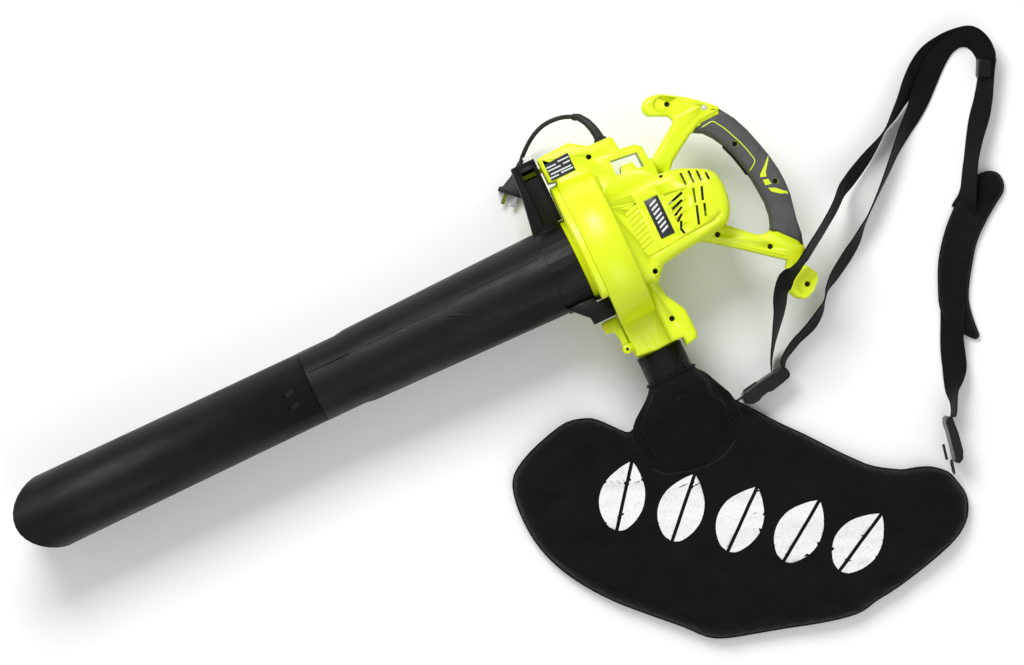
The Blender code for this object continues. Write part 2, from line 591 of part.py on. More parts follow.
def rotor():
    axis = (0, 0, AXIS_Z)
    bore = SHAFT_R + GAP
    solid("motor_shaft", on_axis([(-0.007, SHAFT_R - 0.001), (-0.006, SHAFT_R), (0.171, SHAFT_R),
                                  (0.172, SHAFT_R - 0.001)], False, 20), STEEL, axis)
    hub = on_axis([(0.0, bore), (0.033, bore), (0.033, 0.016), (0.029, 0.018), (0.029, IMPELLER_R),
                   (0.0265, IMPELLER_R), (0.0265, 0.018), (0.0, 0.016)], segments=28)
    bladed("impeller", hub, [blade(0.002, 0.0275, 0.024, IMPELLER_R - 0.001, 0.003, 2 * pi * k / 8)
                             for k in range(8)], ALLOY)
    flat_bore = bore / cos(pi / 6)
    solid("impeller_nut", on_axis([(-0.0052, flat_bore), (-GAP, flat_bore), (-GAP, 0.0095), (-0.0052, 0.0095)],
                                  segments=6), STEEL, axis)
    fan = on_axis([(0.050, bore), (0.064, bore), (0.064, COOLING_FAN_R), (0.062, COOLING_FAN_R),
                   (0.062, 0.012), (0.050, 0.012)], segments=20)
    bladed("cooling_fan", fan, [blade(0.052, 0.0628, 0.015, COOLING_FAN_R - 0.001, 0.002,
                                      2 * pi * k / 10) for k in range(10)], BLACK)
    solid("armature", on_axis([(0.076, bore), (0.122, bore), (0.122, 0.020), (0.118, 0.024),
                               (0.116, ARMATURE_R), (0.082, ARMATURE_R), (0.080, 0.024),
                               (0.076, 0.020)], segments=20), COPPER, axis)
    solid("commutator", on_axis([(0.130, bore), (0.150, bore), (0.150, 0.015), (0.132, 0.015),
                                 (0.130, 0.017)], segments=16), COPPER, axis)


def motor():
    axis = (0, 0, AXIS_Z)
    solid("stator", on_axis([(0.078, STATOR_BORE), (0.120, STATOR_BORE), (0.120, STATOR_R),
                             (0.078, STATOR_R)], segments=28), STEEL, axis)
    for name, x in (("front_bearing", 0.0375), ("rear_bearing", 0.160)):
        ring = [(x, SHAFT_R + GAP), (x + BEARING_W, SHAFT_R + GAP), (x + BEARING_W, BEARING_R),
                (x, BEARING_R)]
        solid(name, on_axis(ring, segments=20), STEEL, axis)
    for name, way in (("upper", 1), ("lower", -1)):
        near, far = way * 0.0153, way * 0.030
        low_y, high_y = sorted((near, far))
        solid(f"carbon_brush_{name}", box((0.137, low_y, AXIS_Z - 0.003), (0.143, high_y, AXIS_Z + 0.003)),
              CARBON)
        low_y, high_y = sorted((way * 0.020, way * 0.040))
        holder = solid(f"brush_holder_{name}", box((0.134, low_y, AXIS_Z - 0.006),
                                                   (0.146, high_y, AXIS_Z + 0.006)), BLACK)
        low_y, high_y = sorted((way * 0.018, way * 0.0355))
        cut(holder, box((0.137 - GAP, low_y, AXIS_Z - 0.0033), (0.143 + GAP, high_y, AXIS_Z + 0.0033)))


# ---- suction tube ----------------------------------------------------------------------------
def inlet_cover():
    rim = VOLUTE_R - 0.002
    back = VOLUTE_FRONT - GAP
    profile = [(INLET_FACE, INLET_BORE + 0.002), (INLET_FACE + 0.002, INLET_BORE), (back, INLET_BORE),
               (back, rim), (back - 0.008, rim), (back - 0.0105, rim - 0.003),
               (back - 0.0105, INLET_R), (INLET_FACE + 0.001, INLET_R), (INLET_FACE, INLET_R - 0.001)]
    cover = solid("inlet_cover", on_axis(profile, segments=36), LIME)
    cut(cover, box((-0.030, -0.140, 0.0), (-0.012, -0.0665, 0.30)))


def mouth_x(turn):
    """Where the tube's rounded mouth ends at an angle round the tube from +Y."""
    return TUBE_TIP + TUBE_MOUTH * (1 - abs(sin(turn)) ** 1.3)


def tube_ring(x, radius, segments=32, mouth=False):
    turns = [2 * pi * k / segments for k in range(segments)]
    return [(mouth_x(a) if mouth else x, radius * cos(a), AXIS_Z + radius * sin(a)) for a in turns]


def tube_solid(outside, inside, mouth_first):
    """A tube between two walls, each through stations (x, radius of its outer side)."""
    outer = [tube_ring(x, r, mouth=mouth_first and i == 0) for i, (x, r) in enumerate(outside)]
    inner = [tube_ring(x, r - TUBE_WALL, mouth=mouth_first and i == 0) for i, (x, r) in enumerate(inside)]
    return rings_to_solid(outer + inner[::-1], closed=True)


def lower_radius(x):
    share = (x - TUBE_TIP) / (TUBE_SEAM - TUBE_TIP)
    return LOWER_R_TIP + (LOWER_R_SEAM - LOWER_R_TIP) * share


def tubes():
    start = TUBE_TIP + TUBE_MOUTH + 0.004
    spigot = UPPER_R_SEAM - TUBE_WALL - 2 * GAP
    tip = [(TUBE_TIP, LOWER_R_TIP), (start, lower_radius(start))]
    end = (TUBE_SEAM + TUBE_LAP, spigot)
    outside = [*tip, (TUBE_SEAM - GAP, LOWER_R_SEAM), (TUBE_SEAM - GAP, spigot), end]
    inside = [*tip, (TUBE_SEAM - 0.012, LOWER_R_SEAM), (TUBE_SEAM - 0.006, spigot), end]
    solid("lower_tube", tube_solid(outside, inside, True), BLACK)
    half_way = (TUBE_SEAM + TUBE_END) / 2
    middle = UPPER_R_SEAM + (UPPER_R_TOP - UPPER_R_SEAM) * 0.62
    upper = [(TUBE_SEAM, UPPER_R_SEAM), (TUBE_SEAM + 0.060, UPPER_R_SEAM), (TUBE_SEAM + 0.075, UPPER_R_SEAM + 0.0025),
             (half_way, middle), (-0.080, UPPER_R_TOP), (TUBE_END, UPPER_R_TOP)]
    solid("upper_tube", tube_solid(upper, upper, False), BLACK)


def collar():
    """The tube's flange, with the pocket that hooks over the casing's tongue and the latch's tooth."""
    barrel = UPPER_R_TOP + GAP
    blank = barrel - 0.001
    ring = [(-0.075, blank), (INLET_FACE - 2 * GAP, blank), (INLET_FACE - 2 * GAP, barrel + 0.0035),
            (-0.075, barrel + 0.002)]
    part = solid("tube_collar", on_axis(ring, segments=32), BLACK)
    levels = [(AXIS_Z - 0.030, 0.003), (AXIS_Z - 0.027, 0), (AXIS_Z + 0.027, 0), (AXIS_Z + 0.030, 0.003)]
    tooth = [(AXIS_Z - 0.022, 0.002), (AXIS_Z - 0.020, 0), (AXIS_Z + 0.038, 0), (AXIS_Z + 0.040, 0.002)]
    join(part, slab(COLLAR_TOP, levels), slab(COLLAR_BOTTOM, tooth), solver="MANIFOLD")
    window = mm((-52, 138), (-32, 138), (-32, 152), (-52, 152))
    cut(part, on_axis([(-0.080, barrel), (-0.010, barrel)], closed=False, segments=32),
        slab(TONGUE_ROOM, [(AXIS_Z - 0.010, 0), (AXIS_Z + 0.010, 0)]),
        slab(window, [(AXIS_Z, 0), (AXIS_Z + 0.04, 0)]), solver="MANIFOLD")
    ribs = [slab([(x, 0.070), (x + 0.003, 0.070), (x + 0.003, 0.162), (x, 0.162)],
                 [(AXIS_Z + 0.028, 0), (AXIS_Z + 0.0318, 0)]) for x in (-0.0555, -0.0305)]
    join(part, *ribs, solver="MANIFOLD")
    tab = box((-0.040, 0.1653, AXIS_Z - 0.012), (-0.027, 0.173, AXIS_Z + 0.012))
    solid("interlock_tab", tab, CREAM)


def latch():
    levels = [(AXIS_Z - 0.0295, 0.002), (AXIS_Z - 0.0275, 0), (AXIS_Z + 0.0015, 0), (AXIS_Z + 0.0035, 0.002)]
    lever = solid("latch_lever", slab(LATCH, levels), LIME, pivot=(*LATCH_PIVOT, AXIS_Z))
    cut(lever, post(*LATCH_PIVOT, AXIS_Z - 0.04, AXIS_Z + 0.02, 0.0023))
    solid("latch_pin", post(*LATCH_PIVOT, AXIS_Z - 0.0368, AXIS_Z + 0.0112, 0.0020), STEEL)


# ---- outlet, bag and strap -------------------------------------------------------------------
def outlet_duct():
    duct = solid("outlet_duct", duct_bar(DUCT_TOP, DUCT_END, 0), BLACK)
    cut(duct, duct_bar(DUCT_TOP + 0.01, DUCT_END - 0.01, -DUCT_WALL))


def bag():
    """A flattened hollow bag with its neck over the outlet duct."""
    duct_z = AXIS_Z - DUCT_DROP
    neck_x, neck_z = DUCT_HALF_X + 2 * GAP, DUCT_HALF_Z + 2 * GAP

    def neck(wall, reach):
        return ellipse_bar([(-0.212 + reach, DUCT_X, duct_z, neck_x + wall, neck_z + wall),
                            (DUCT_END - 0.002, DUCT_X, duct_z, neck_x + wall, neck_z + wall),
                            (-0.274, 0.018, duct_z * 0.82, 0.058 + wall, neck_z * 0.95 + wall),
                            (-0.300, 0.014, 0.042, 0.072 + wall, 0.036 + wall),
                            (-0.340, 0.010, 0.030, 0.075 + wall, 0.022 + wall)])

    levels = [(0.0006, 0.010), (0.004, 0.003), (0.012, 0.0), (0.030, 0.004), (0.046, 0.013), (BAG_H, 0.028)]
    sack = solid("collecting_bag", slab(BAG, levels), CLOTH)
    join(sack, neck(BAG_WALL, 0.0))
    inner = [(0.0006 + BAG_WALL, 0.012), (0.007, 0.006), (0.012, 0.003), (0.029, 0.0065),
             (0.0445, 0.0155), (BAG_H - BAG_WALL, 0.0285)]
    cut(sack, slab(BAG, inner), neck(0.0, 0.01))


def torus(centre, toward, major, minor, segments=16, sides=6):
    """A wire ring that stands upright in the vertical plane through a plan direction."""
    along = Vector((toward[0], toward[1], 0)).normalized()
    rings = []
    for k in range(segments):
        turn = 2 * pi * k / segments
        out = along * cos(turn) + Vector((0, 0, 1)) * sin(turn)
        side = Vector((-along.y, along.x, 0))
        rings.append([Vector(centre) + out * (major + minor * cos(2 * pi * j / sides))
                      + side * minor * sin(2 * pi * j / sides) for j in range(sides)])
    return rings_to_solid(rings, closed=True)


HOOK = mm((3, -8), (40, -8), (46, -4), (62, -4), (62, 4), (46, 4), (40, 8), (34.5, 8), (34.5, 4),
          (36.5, 2.5), (36.5, -3), (34, -4.2), (9, -4.2), (5.4, -2), (5.4, 2), (9, 4.2), (9, 8), (3, 8),
          (0, 4), (0, -4))
GATE = mm((9.7, 4.4), (33.8, 4.4), (33.8, 8), (9.7, 8))
GATE_HINGE = (0.0325, 0.0062)


def placed(bm, at, turn):
    bmesh.ops.rotate(bm, verts=bm.verts, matrix=Matrix.Rotation(turn, 3, "Z"))
    bmesh.ops.translate(bm, verts=bm.verts, vec=(at[0], at[1], 0))
    return bm


def snap_hook(number, start, end):
    """A strap hook with a sprung gate, its eye standing upright for the webbing, and its bag ring."""
    turn = atan2(end[1] - start[1], end[0] - start[0])
    flat = [(HOOK_Z - 0.003, 0.0006), (HOOK_Z - 0.0022, 0), (HOOK_Z + 0.0022, 0), (HOOK_Z + 0.003, 0.0006)]
    hook = solid(f"snap_hook_{number}", placed(slab(HOOK, flat), start, turn), STEEL)
    eye = merged(box((0.0605, -0.0025, HOOK_Z - 0.0225), (0.0645, 0.0025, HOOK_Z + 0.0225)))
    join(hook, placed(eye, start, turn))
    hinge = Vector(start) + Matrix.Rotation(turn, 2) @ Vector(GATE_HINGE)
    thin = [(HOOK_Z - 0.0028, 0), (HOOK_Z + 0.0028, 0)]
    solid(f"hook_gate_{number}", placed(slab(GATE, thin), start, turn), STEEL,
          pivot=(hinge.x, hinge.y, HOOK_Z))
    along = Vector((end[0] - start[0], end[1] - start[1])).normalized()
    centre = Vector(start) - along * RING_BACK
    solid(f"bag_ring_{number}", torus((centre.x, centre.y, HOOK_Z), along, 0.0104, 0.0015), STEEL)


def strap():
    solid("strap_over", ribbon(STRAP_OVER), STRAP)
    solid("strap_under", ribbon(STRAP_UNDER), STRAP)
    solid("strap_single", ribbon(STRAP_SINGLE), STRAP)
    solid("strap_lower", ribbon(STRAP_LOWER), STRAP)
    levels = [(0.0006, 0.004), (0.003, 0.001), (PAD_T * 0.5, 0), (PAD_T - 0.002, 0.002), (PAD_T, 0.006)]
    solid("shoulder_pad", slab(PAD, levels), STRAP)
    frame = slab(mm((-20, -16), (20, -16), (20, 16), (-20, 16)), [(0.0092, 0), (0.0122, 0)])
    slider = solid("strap_slider", placed(frame, (0.6465, -0.0015), radians(-25)), BLACK)
    for low, high in ((2, 12), (-12, -2)):
        slot = slab(mm((-17, low), (17, low), (17, high), (-17, high)), [(0.007, 0), (0.014, 0)])
        cut(slider, placed(slot, (0.6465, -0.0015), radians(-25)))


# ---- mains lead ------------------------------------------------------------------------------
def mains_cord():
    curve = bpy.data.curves.new("mains_cord", "CURVE")
    curve.dimensions = "3D"
    curve.bevel_depth = CORD_D / 2
    curve.bevel_resolution = 2
    curve.use_fill_caps = True
    line = curve.splines.new("POLY")
    line.points.add(len(CORD_ROUTE) - 1)
    for point, place in zip(line.points, CORD_ROUTE):
        point.co = (*place, 1)
    curve.materials.append(material(BLACK))
    cord = bpy.data.objects.new("mains_cord", curve)
    cord.parent = ROOT
    bpy.context.collection.objects.link(cord)


def cord_boot():
    """The strain relief: a flange on the cable box and a tapered sleeve."""
    boot = solid("cord_boot", swept(BOOT_ROUTE, [0.0078, 0.0072, 0.0067, 0.0062, 0.0057, 0.0054]), BLACK)
    flange = swept([(0.0765, 0.1474, AXIS_Z), (0.0765, 0.1510, AXIS_Z)], [0.0102, 0.0094])
    join(boot, flange)


def plug():
    turn = PLUG_TURN
    at = (CORD_ROUTE[-1][0] + cos(turn) * GAP, CORD_ROUTE[-1][1] + sin(turn) * GAP)
    half = mm((14, -7), (24, -8), (42, -15), (45, -20.5), (51, -20.5), (51, 20.5), (45, 20.5), (42, 15),
              (24, 8), (14, 7))
    levels = [(PLUG_Z - 0.0125, 0.003), (PLUG_Z - 0.0095, 0), (PLUG_Z + 0.0095, 0), (PLUG_Z + 0.0125, 0.003)]
    body = solid("mains_plug", placed(slab(half, levels), at, turn), BLACK)
    relief = swept([(0.0, 0, PLUG_Z), (0.009, 0, PLUG_Z), (0.019, 0, PLUG_Z)], [0.0046, 0.0056, 0.0068])
    join(body, placed(relief, at, turn))
    for name, way in (("a", 1), ("b", -1)):
        blade_mesh = box((0.0513, -0.0032, -0.0008), (0.068, 0.0032, 0.0008))
        bmesh.ops.rotate(blade_mesh, verts=blade_mesh.verts, matrix=Matrix.Rotation(way * pi / 6, 3, "X"))
        bmesh.ops.translate(blade_mesh, verts=blade_mesh.verts, vec=(0, way * 0.0079, PLUG_Z))
        solid(f"plug_pin_{name}", placed(blade_mesh, at, turn), STEEL)


# ---- assembly --------------------------------------------------------------------------------
CORD_NAMES = ("mains_cord", "cord_boot", "mains_plug", "plug_pin_a", "plug_pin_b")


def stand_on_origin():
    """Moves the root so that the bottom centre of the machine, without its lead, is the origin."""
    graph = bpy.context.evaluated_depsgraph_get()
    low, high = Vector((1e9,) * 3), Vector((-1e9,) * 3)
    for made in bpy.context.scene.objects:
        if made.type != "MESH" or made.hide_render or made.name in CORD_NAMES:
            continue
        seen = made.evaluated_get(graph)
        for corner in seen.bound_box:
            place = seen.matrix_world @ Vector(corner)
            low = Vector(map(min, low, place))
            high = Vector(map(max, high, place))
    ROOT.location = (-(low.x + high.x) / 2, -(low.y + high.y) / 2, -low.z)


for old in list(bpy.data.objects):
    bpy.data.objects.remove(old)
ROOT = bpy.data.objects.new("machine", None)
bpy.context.collection.objects.link(ROOT)

for way in (1, -1):
    casing(way)
    grip(way)
casing_trim()
screws()
trigger()
rotor()
motor()
inlet_cover()
tubes()
collar()
latch()
outlet_duct()
bag()
snap_hook(1, (0.105, -0.293), (0.183, -0.280))
snap_hook(2, (0.352, -0.522), (0.368, -0.450))
strap()
cord_boot()
mains_cord()
plug()
stand_on_origin()
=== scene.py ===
"""Looks of the leaf vacuum mulcher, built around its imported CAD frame.

Places are given as (u, v, w) in millimetres from the motor axis: u runs along the axis from the
tube to the handle, v towards the top of the machine, away from the bag, and w upwards.
"""
from math import atan2, cos, exp, hypot, pi, radians, sin, sqrt

import bmesh
import bpy
import numpy as np
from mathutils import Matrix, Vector, geometry, noise
from mathutils.bvhtree import BVHTree


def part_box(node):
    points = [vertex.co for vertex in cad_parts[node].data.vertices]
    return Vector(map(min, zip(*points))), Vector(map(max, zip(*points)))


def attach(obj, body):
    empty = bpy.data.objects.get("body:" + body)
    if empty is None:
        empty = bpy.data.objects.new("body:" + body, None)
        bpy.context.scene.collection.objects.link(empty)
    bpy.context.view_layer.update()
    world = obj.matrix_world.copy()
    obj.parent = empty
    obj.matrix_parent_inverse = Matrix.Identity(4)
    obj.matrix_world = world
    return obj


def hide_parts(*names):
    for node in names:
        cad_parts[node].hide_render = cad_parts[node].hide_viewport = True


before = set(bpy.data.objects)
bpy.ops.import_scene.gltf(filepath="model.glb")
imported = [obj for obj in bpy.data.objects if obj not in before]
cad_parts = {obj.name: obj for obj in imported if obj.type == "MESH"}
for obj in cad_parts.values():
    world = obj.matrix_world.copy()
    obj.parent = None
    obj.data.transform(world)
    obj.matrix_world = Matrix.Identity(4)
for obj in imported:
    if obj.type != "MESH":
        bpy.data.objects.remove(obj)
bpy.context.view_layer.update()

MM = 0.001
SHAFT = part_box("motor_shaft")
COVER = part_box("inlet_cover")
COVER_FACE = -31.8           # u of the inlet cover's face
AXIS = Vector((COVER[0].x - COVER_FACE * MM, (SHAFT[0].y + SHAFT[1].y) / 2,
               (SHAFT[0].z + SHAFT[1].z) / 2))
GROUND = -AXIS.z / MM        # w of the ground
MOTOR_TOP = (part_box("badge_plate")[0].z - AXIS.z) / MM - 0.3
BOX_TOP = (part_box("rating_plate")[0].z - AXIS.z) / MM - 0.3
ARM_TOP = 19.0               # w of the flat top of the handle's arms


def at(u, v, w=0.0):
    """A point in the frame."""
    return AXIS + Vector((u, v, w)) * MM


# ---- materials ----------------------------------------------------------------------------
class Nodes:
    """A material's node tree with a Principled shader, and short ways to add to it."""

    def __init__(self, name, color, rough, metallic=0.0, specular=0.5):
        self.material = bpy.data.materials.new(name)
        self.material.use_nodes = True
        self.tree = self.material.node_tree
        self.shader = self.tree.nodes["Principled BSDF"]
        self.shader.inputs["Base Color"].default_value = (*color, 1)
        self.shader.inputs["Roughness"].default_value = rough
        self.shader.inputs["Metallic"].default_value = metallic
        self.shader.inputs["Specular IOR Level"].default_value = specular
        self.color = color
        self.place = self.tree.nodes.new("ShaderNodeTexCoord").outputs["Object"]
        self.normal = None

    def node(self, kind, **values):
        made = self.tree.nodes.new(kind)
        for name, value in values.items():
            made.inputs[name.replace("_", " ")].default_value = value
        return made

    def link(self, source, target):
        self.tree.links.new(source, target)

    def stretched(self, scale, turn=0.0):
        """The place in the frame, turned about Z and scaled."""
        mapping = self.tree.nodes.new("ShaderNodeMapping")
        mapping.inputs["Scale"].default_value = scale
        mapping.inputs["Rotation"].default_value = (0, 0, turn)
        self.link(self.place, mapping.inputs["Vector"])
        return mapping.outputs["Vector"]

    def noise(self, scale, detail=4.0, rough=0.5, place=None):
        made = self.node("ShaderNodeTexNoise", Scale=scale, Detail=detail, Roughness=rough)
        self.link(place or self.place, made.inputs["Vector"])
        return made.outputs["Fac"]

    def cells(self, scale):
        made = self.node("ShaderNodeTexVoronoi", Scale=scale)
        self.link(self.place, made.inputs["Vector"])
        return made.outputs["Distance"]

    def wave(self, scale, turn, distortion=0.0):
        made = self.node("ShaderNodeTexWave", Scale=scale, Distortion=distortion)
        made.inputs["Detail Scale"].default_value = 2.0
        self.link(self.stretched((1, 1, 1), turn), made.inputs["Vector"])
        return made.outputs["Fac"]

    def ramp(self, source, low, high, stops=(0.35, 0.65)):
        """Values or colours between two ends."""
        made = self.tree.nodes.new("ShaderNodeValToRGB")
        elements = made.color_ramp.elements
        elements[0].position, elements[1].position = stops
        for element, value in zip(elements, (low, high)):
            element.color = (*value, 1) if hasattr(value, "__len__") else (value, value, value, 1)
        self.link(source, made.inputs["Fac"])
        return made.outputs["Color"]

    def product(self, a, b):
        made = self.tree.nodes.new("ShaderNodeMath")
        made.operation = "MULTIPLY"
        self.link(a, made.inputs[0])
        self.link(b, made.inputs[1])
        return made.outputs["Value"]

    def tint(self, source, low, high, stops=(0.35, 0.65)):
        """Colours the surface between two shares of its own colour."""
        ends = [tuple(min(1.0, c * share) for c in self.color) for share in (low, high)]
        self.link(self.ramp(source, *ends, stops), self.shader.inputs["Base Color"])

    def worn_roughness(self, source, low, high, stops=(0.3, 0.7)):
        self.link(self.ramp(source, low, high, stops), self.shader.inputs["Roughness"])

    def rounded(self, radius):
        """Softens the edges' shading."""
        made = self.node("ShaderNodeBevel", Radius=radius)
        made.samples = 6
        self.normal = made.outputs["Normal"]
        self.link(self.normal, self.shader.inputs["Normal"])

    def bump(self, height, distance, strength=1.0):
        made = self.node("ShaderNodeBump", Distance=distance, Strength=strength)
        self.link(height, made.inputs["Height"])
        if self.normal:
            self.link(self.normal, made.inputs["Normal"])
        self.normal = made.outputs["Normal"]
        self.link(self.normal, self.shader.inputs["Normal"])


def gloss_plastic(name, color, rough=0.33):
    """Moulded plastic: a faint grain, an uneven gloss and clouding from handling."""
    made = Nodes(name, color, rough)
    made.tint(made.noise(9, 5), 0.93, 1.0, (0.3, 0.6))
    made.worn_roughness(made.noise(35, 6), rough - 0.04, rough + 0.10)
    made.rounded(0.0008)
    made.bump(made.noise(1400, 2), 0.00004, 0.5)
    made.bump(made.noise(22, 3), 0.0002, 0.35)
    return made.material


def black_plastic(name, color=(0.0045, 0.0045, 0.0050), rough=0.40):
    """Black moulded plastic with fine spark grain, flow marks and dull scuffs."""
    made = Nodes(name, color, rough, specular=0.17)
    made.tint(made.noise(14, 6), 0.75, 1.45)
    scuffs = made.noise(1, 8, 0.65, made.stretched((14, 60, 60)))
    made.worn_roughness(scuffs, rough - 0.07, rough + 0.16)
    made.rounded(0.0008)
    made.bump(made.noise(2200, 2), 0.00005, 0.5)
    made.bump(made.noise(1, 5, 0.6, made.stretched((9, 110, 110))), 0.00025, 0.25)
    return made.material


def soft_rubber(name, color):
    """A soft overmould: matt, with a pebbled grain."""
    made = Nodes(name, color, 0.62)
    made.tint(made.noise(60, 6), 0.86, 1.12)
    made.worn_roughness(made.noise(25, 4), 0.52, 0.72)
    made.rounded(0.0008)
    made.bump(made.cells(1100), 0.00012, 0.6)
    return made.material


def bare_metal(name, color, rough, streak=(1, 1, 1)):
    """Metal with drawn marks and small dents."""
    made = Nodes(name, color, rough, 1.0)
    made.worn_roughness(made.noise(300, 6, 0.6, made.stretched(streak)), rough - 0.08, rough + 0.12)
    made.tint(made.noise(120, 4), 0.8, 1.0)
    made.bump(made.noise(700, 4, 0.5, made.stretched(streak)), 0.00003, 0.5)
    return made.material


def woven(name, color, pitch, turn, sheen=0.25, depth=0.00025):
    """Cloth woven of crossing yarns, with lint and a soft sheen."""
    made = Nodes(name, color, 0.8, specular=0.12)
    made.shader.inputs["Sheen Weight"].default_value = sheen
    made.shader.inputs["Sheen Roughness"].default_value = 0.4
    warp = made.wave(0.31 / pitch, turn, 0.6)
    weft = made.wave(0.31 / pitch, turn + pi / 2, 0.6)
    made.tint(made.noise(26, 8, 0.65), 0.6, 1.7, (0.3, 0.7))
    made.bump(made.product(warp, weft), depth, 0.7)
    made.bump(made.noise(90, 6, 0.6), 0.0005, 0.35)
    return made.material


def printed(name, color):
    """Ink pressed into cloth: the weave shows through and the ink is worn in places."""
    made = Nodes(name, color, 0.6)
    made.tint(made.noise(240, 8, 0.7), 0.72, 1.0, (0.25, 0.5))
    made.bump(made.product(made.wave(310, 0.4), made.wave(310, 0.4 + pi / 2)), 0.0002, 0.6)
    return made.material


LIME = gloss_plastic("lime_plastic", (0.69, 0.83, 0.004))
LIME_INLAY = gloss_plastic("lime_inlay", (0.62, 0.76, 0.01), 0.45)
BLACK = black_plastic("black_plastic")
GRIP = soft_rubber("grip_rubber", (0.060, 0.058, 0.060))
SHEATH = soft_rubber("cord_sheath", (0.006, 0.006, 0.007))
CREAM = gloss_plastic("cream_plastic", (0.80, 0.79, 0.74), 0.42)
LENS = gloss_plastic("lens", (0.55, 0.53, 0.55), 0.2)
PLATE = gloss_plastic("plate", (0.012, 0.013, 0.018), 0.3)
PLATE_INK = gloss_plastic("plate_ink", (0.62, 0.64, 0.66), 0.4)
STEEL = bare_metal("steel", (0.55, 0.55, 0.57), 0.28, (1, 6, 1))
DARK_STEEL = bare_metal("dark_steel", (0.035, 0.035, 0.038), 0.35)
ALLOY = bare_metal("cast_alloy", (0.60, 0.61, 0.62), 0.42)
COPPER = bare_metal("copper", (0.72, 0.36, 0.20), 0.32, (30, 1, 1))
CARBON = soft_rubber("carbon", (0.03, 0.03, 0.03))
CLOTH = woven("bag_cloth", (0.0030, 0.0030, 0.0036), 0.0011, 0.44, 0.05)
WEBBING = woven("webbing", (0.0034, 0.0034, 0.0040), 0.0014, 0.9, 0.05)
PAD_CLOTH = woven("pad_cloth", (0.0040, 0.0040, 0.0046), 0.0016, 0.3, 0.06, 0.0004)
STITCH = woven("stitching", (0.010, 0.010, 0.011), 0.0006, 0.2, 0.1)
PRINT = printed("bag_print", (0.80, 0.79, 0.80))


# ---- pieces -------------------------------------------------------------------------------
def piece(name, bm, look, body, smooth=radians(34)):
    """A mesh object that rides on a body."""
    mesh = bpy.data.meshes.new(name)
    bm.to_mesh(mesh)
    bm.free()
    made = bpy.data.objects.new(name, mesh)
    bpy.context.collection.objects.link(made)
    mesh.materials.clear()
    mesh.materials.append(look)
    mesh.shade_smooth()
    mesh.set_sharp_from_angle(angle=smooth)
    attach(made, body)
    return made


def welded(node):
    """A CAD node's mesh with its corners welded."""
    bm = bmesh.new()
    bm.from_mesh(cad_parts[node].data)
    bmesh.ops.remove_doubles(bm, verts=bm.verts, dist=3e-6)
    return bm


def surface_of(*objects):
    """What is used to find the height of some pieces' surfaces."""
    points, faces = [], []
    for o in objects:
        start = len(points)
        points += [o.matrix_world @ v.co for v in o.data.vertices]
        faces += [[start + i for i in polygon.vertices] for polygon in o.data.polygons]
    return BVHTree.FromPolygons(points, faces)


def prism(outline, low, high):
    """A block over an outline in (u, v), between two heights."""
    bm = bmesh.new()
    rows = [[bm.verts.new(at(u, v, w)) for u, v in outline] for w in (low, high)]
    bm.faces.new(rows[0][::-1])
    bm.faces.new(rows[1])
    for i in range(len(outline)):
        j = (i + 1) % len(outline)
        bm.faces.new((rows[0][i], rows[0][j], rows[1][j], rows[1][i]))
    bmesh.ops.recalc_face_normals(bm, faces=bm.faces)
    return bm


def merged(parts):
    """Several meshes in one."""
    bm = bmesh.new()
    for part in parts:
        mesh = bpy.data.meshes.new("part")
        part.to_mesh(mesh)
        part.free()
        bm.from_mesh(mesh)
        bpy.data.meshes.remove(mesh)
    return bm


def cut(target, cutters):
    """Cuts blocks out of a piece."""
    mesh = bpy.data.meshes.new("cutter")
    bm = merged(cutters)
    bm.to_mesh(mesh)
    bm.free()
    cutter = bpy.data.objects.new("cutter", mesh)
    bpy.context.collection.objects.link(cutter)
    modifier = target.modifiers.new("cut", "BOOLEAN")
    modifier.operation = "DIFFERENCE"
    modifier.solver = "MANIFOLD"
    modifier.object = cutter
    bpy.context.view_layer.update()
    graph = bpy.context.evaluated_depsgraph_get()
    result = bpy.data.meshes.new_from_object(target.evaluated_get(graph))
    target.modifiers.clear()
    target.data = result
    bpy.data.objects.remove(cutter)
    result.shade_smooth()
    result.set_sharp_from_angle(angle=radians(34))


def along(points, width):
    """The outline of a band of a given width along a line in (u, v)."""
    points = [Vector(p) for p in points]
    left, right = [], []
    for i, p in enumerate(points):
        before = points[i - 1] if i else p
        after = points[i + 1] if i < len(points) - 1 else p
        way = (after - before).normalized()
        side = Vector((-way.y, way.x)) * width / 2
        left.append(p + side)
        right.append(p - side)
    return [tuple(p) for p in left + right[::-1]]


def oval(centre, length, width, turn, steps=20):
    """A racetrack outline, its long way turned from u."""
    radius, reach = width / 2, (length - width) / 2
    outline = []
    for k in range(steps):
        angle = 2 * pi * k / steps + 1e-4
        x = radius * cos(angle) + (reach if cos(angle) > 0 else -reach)
        y = radius * sin(angle)
        outline.append((centre[0] + x * cos(turn) - y * sin(turn),
                        centre[1] + x * sin(turn) + y * cos(turn)))
    return outline


def arc(points, steps=6):
    """A smooth line through points of any dimension."""
    points = [Vector(p) for p in points]
    ends = [2 * points[0] - points[1], *points, 2 * points[-1] - points[-2]]
    run = []
    for a, b, c, d in zip(ends, ends[1:], ends[2:], ends[3:]):
        for k in range(steps):
            t = k / steps
            run.append(0.5 * (2 * b + (c - a) * t + (2 * a - 5 * b + 4 * c - d) * t ** 2
                              + (3 * b - a - 3 * c + d) * t ** 3))
    return run + [points[-1]]


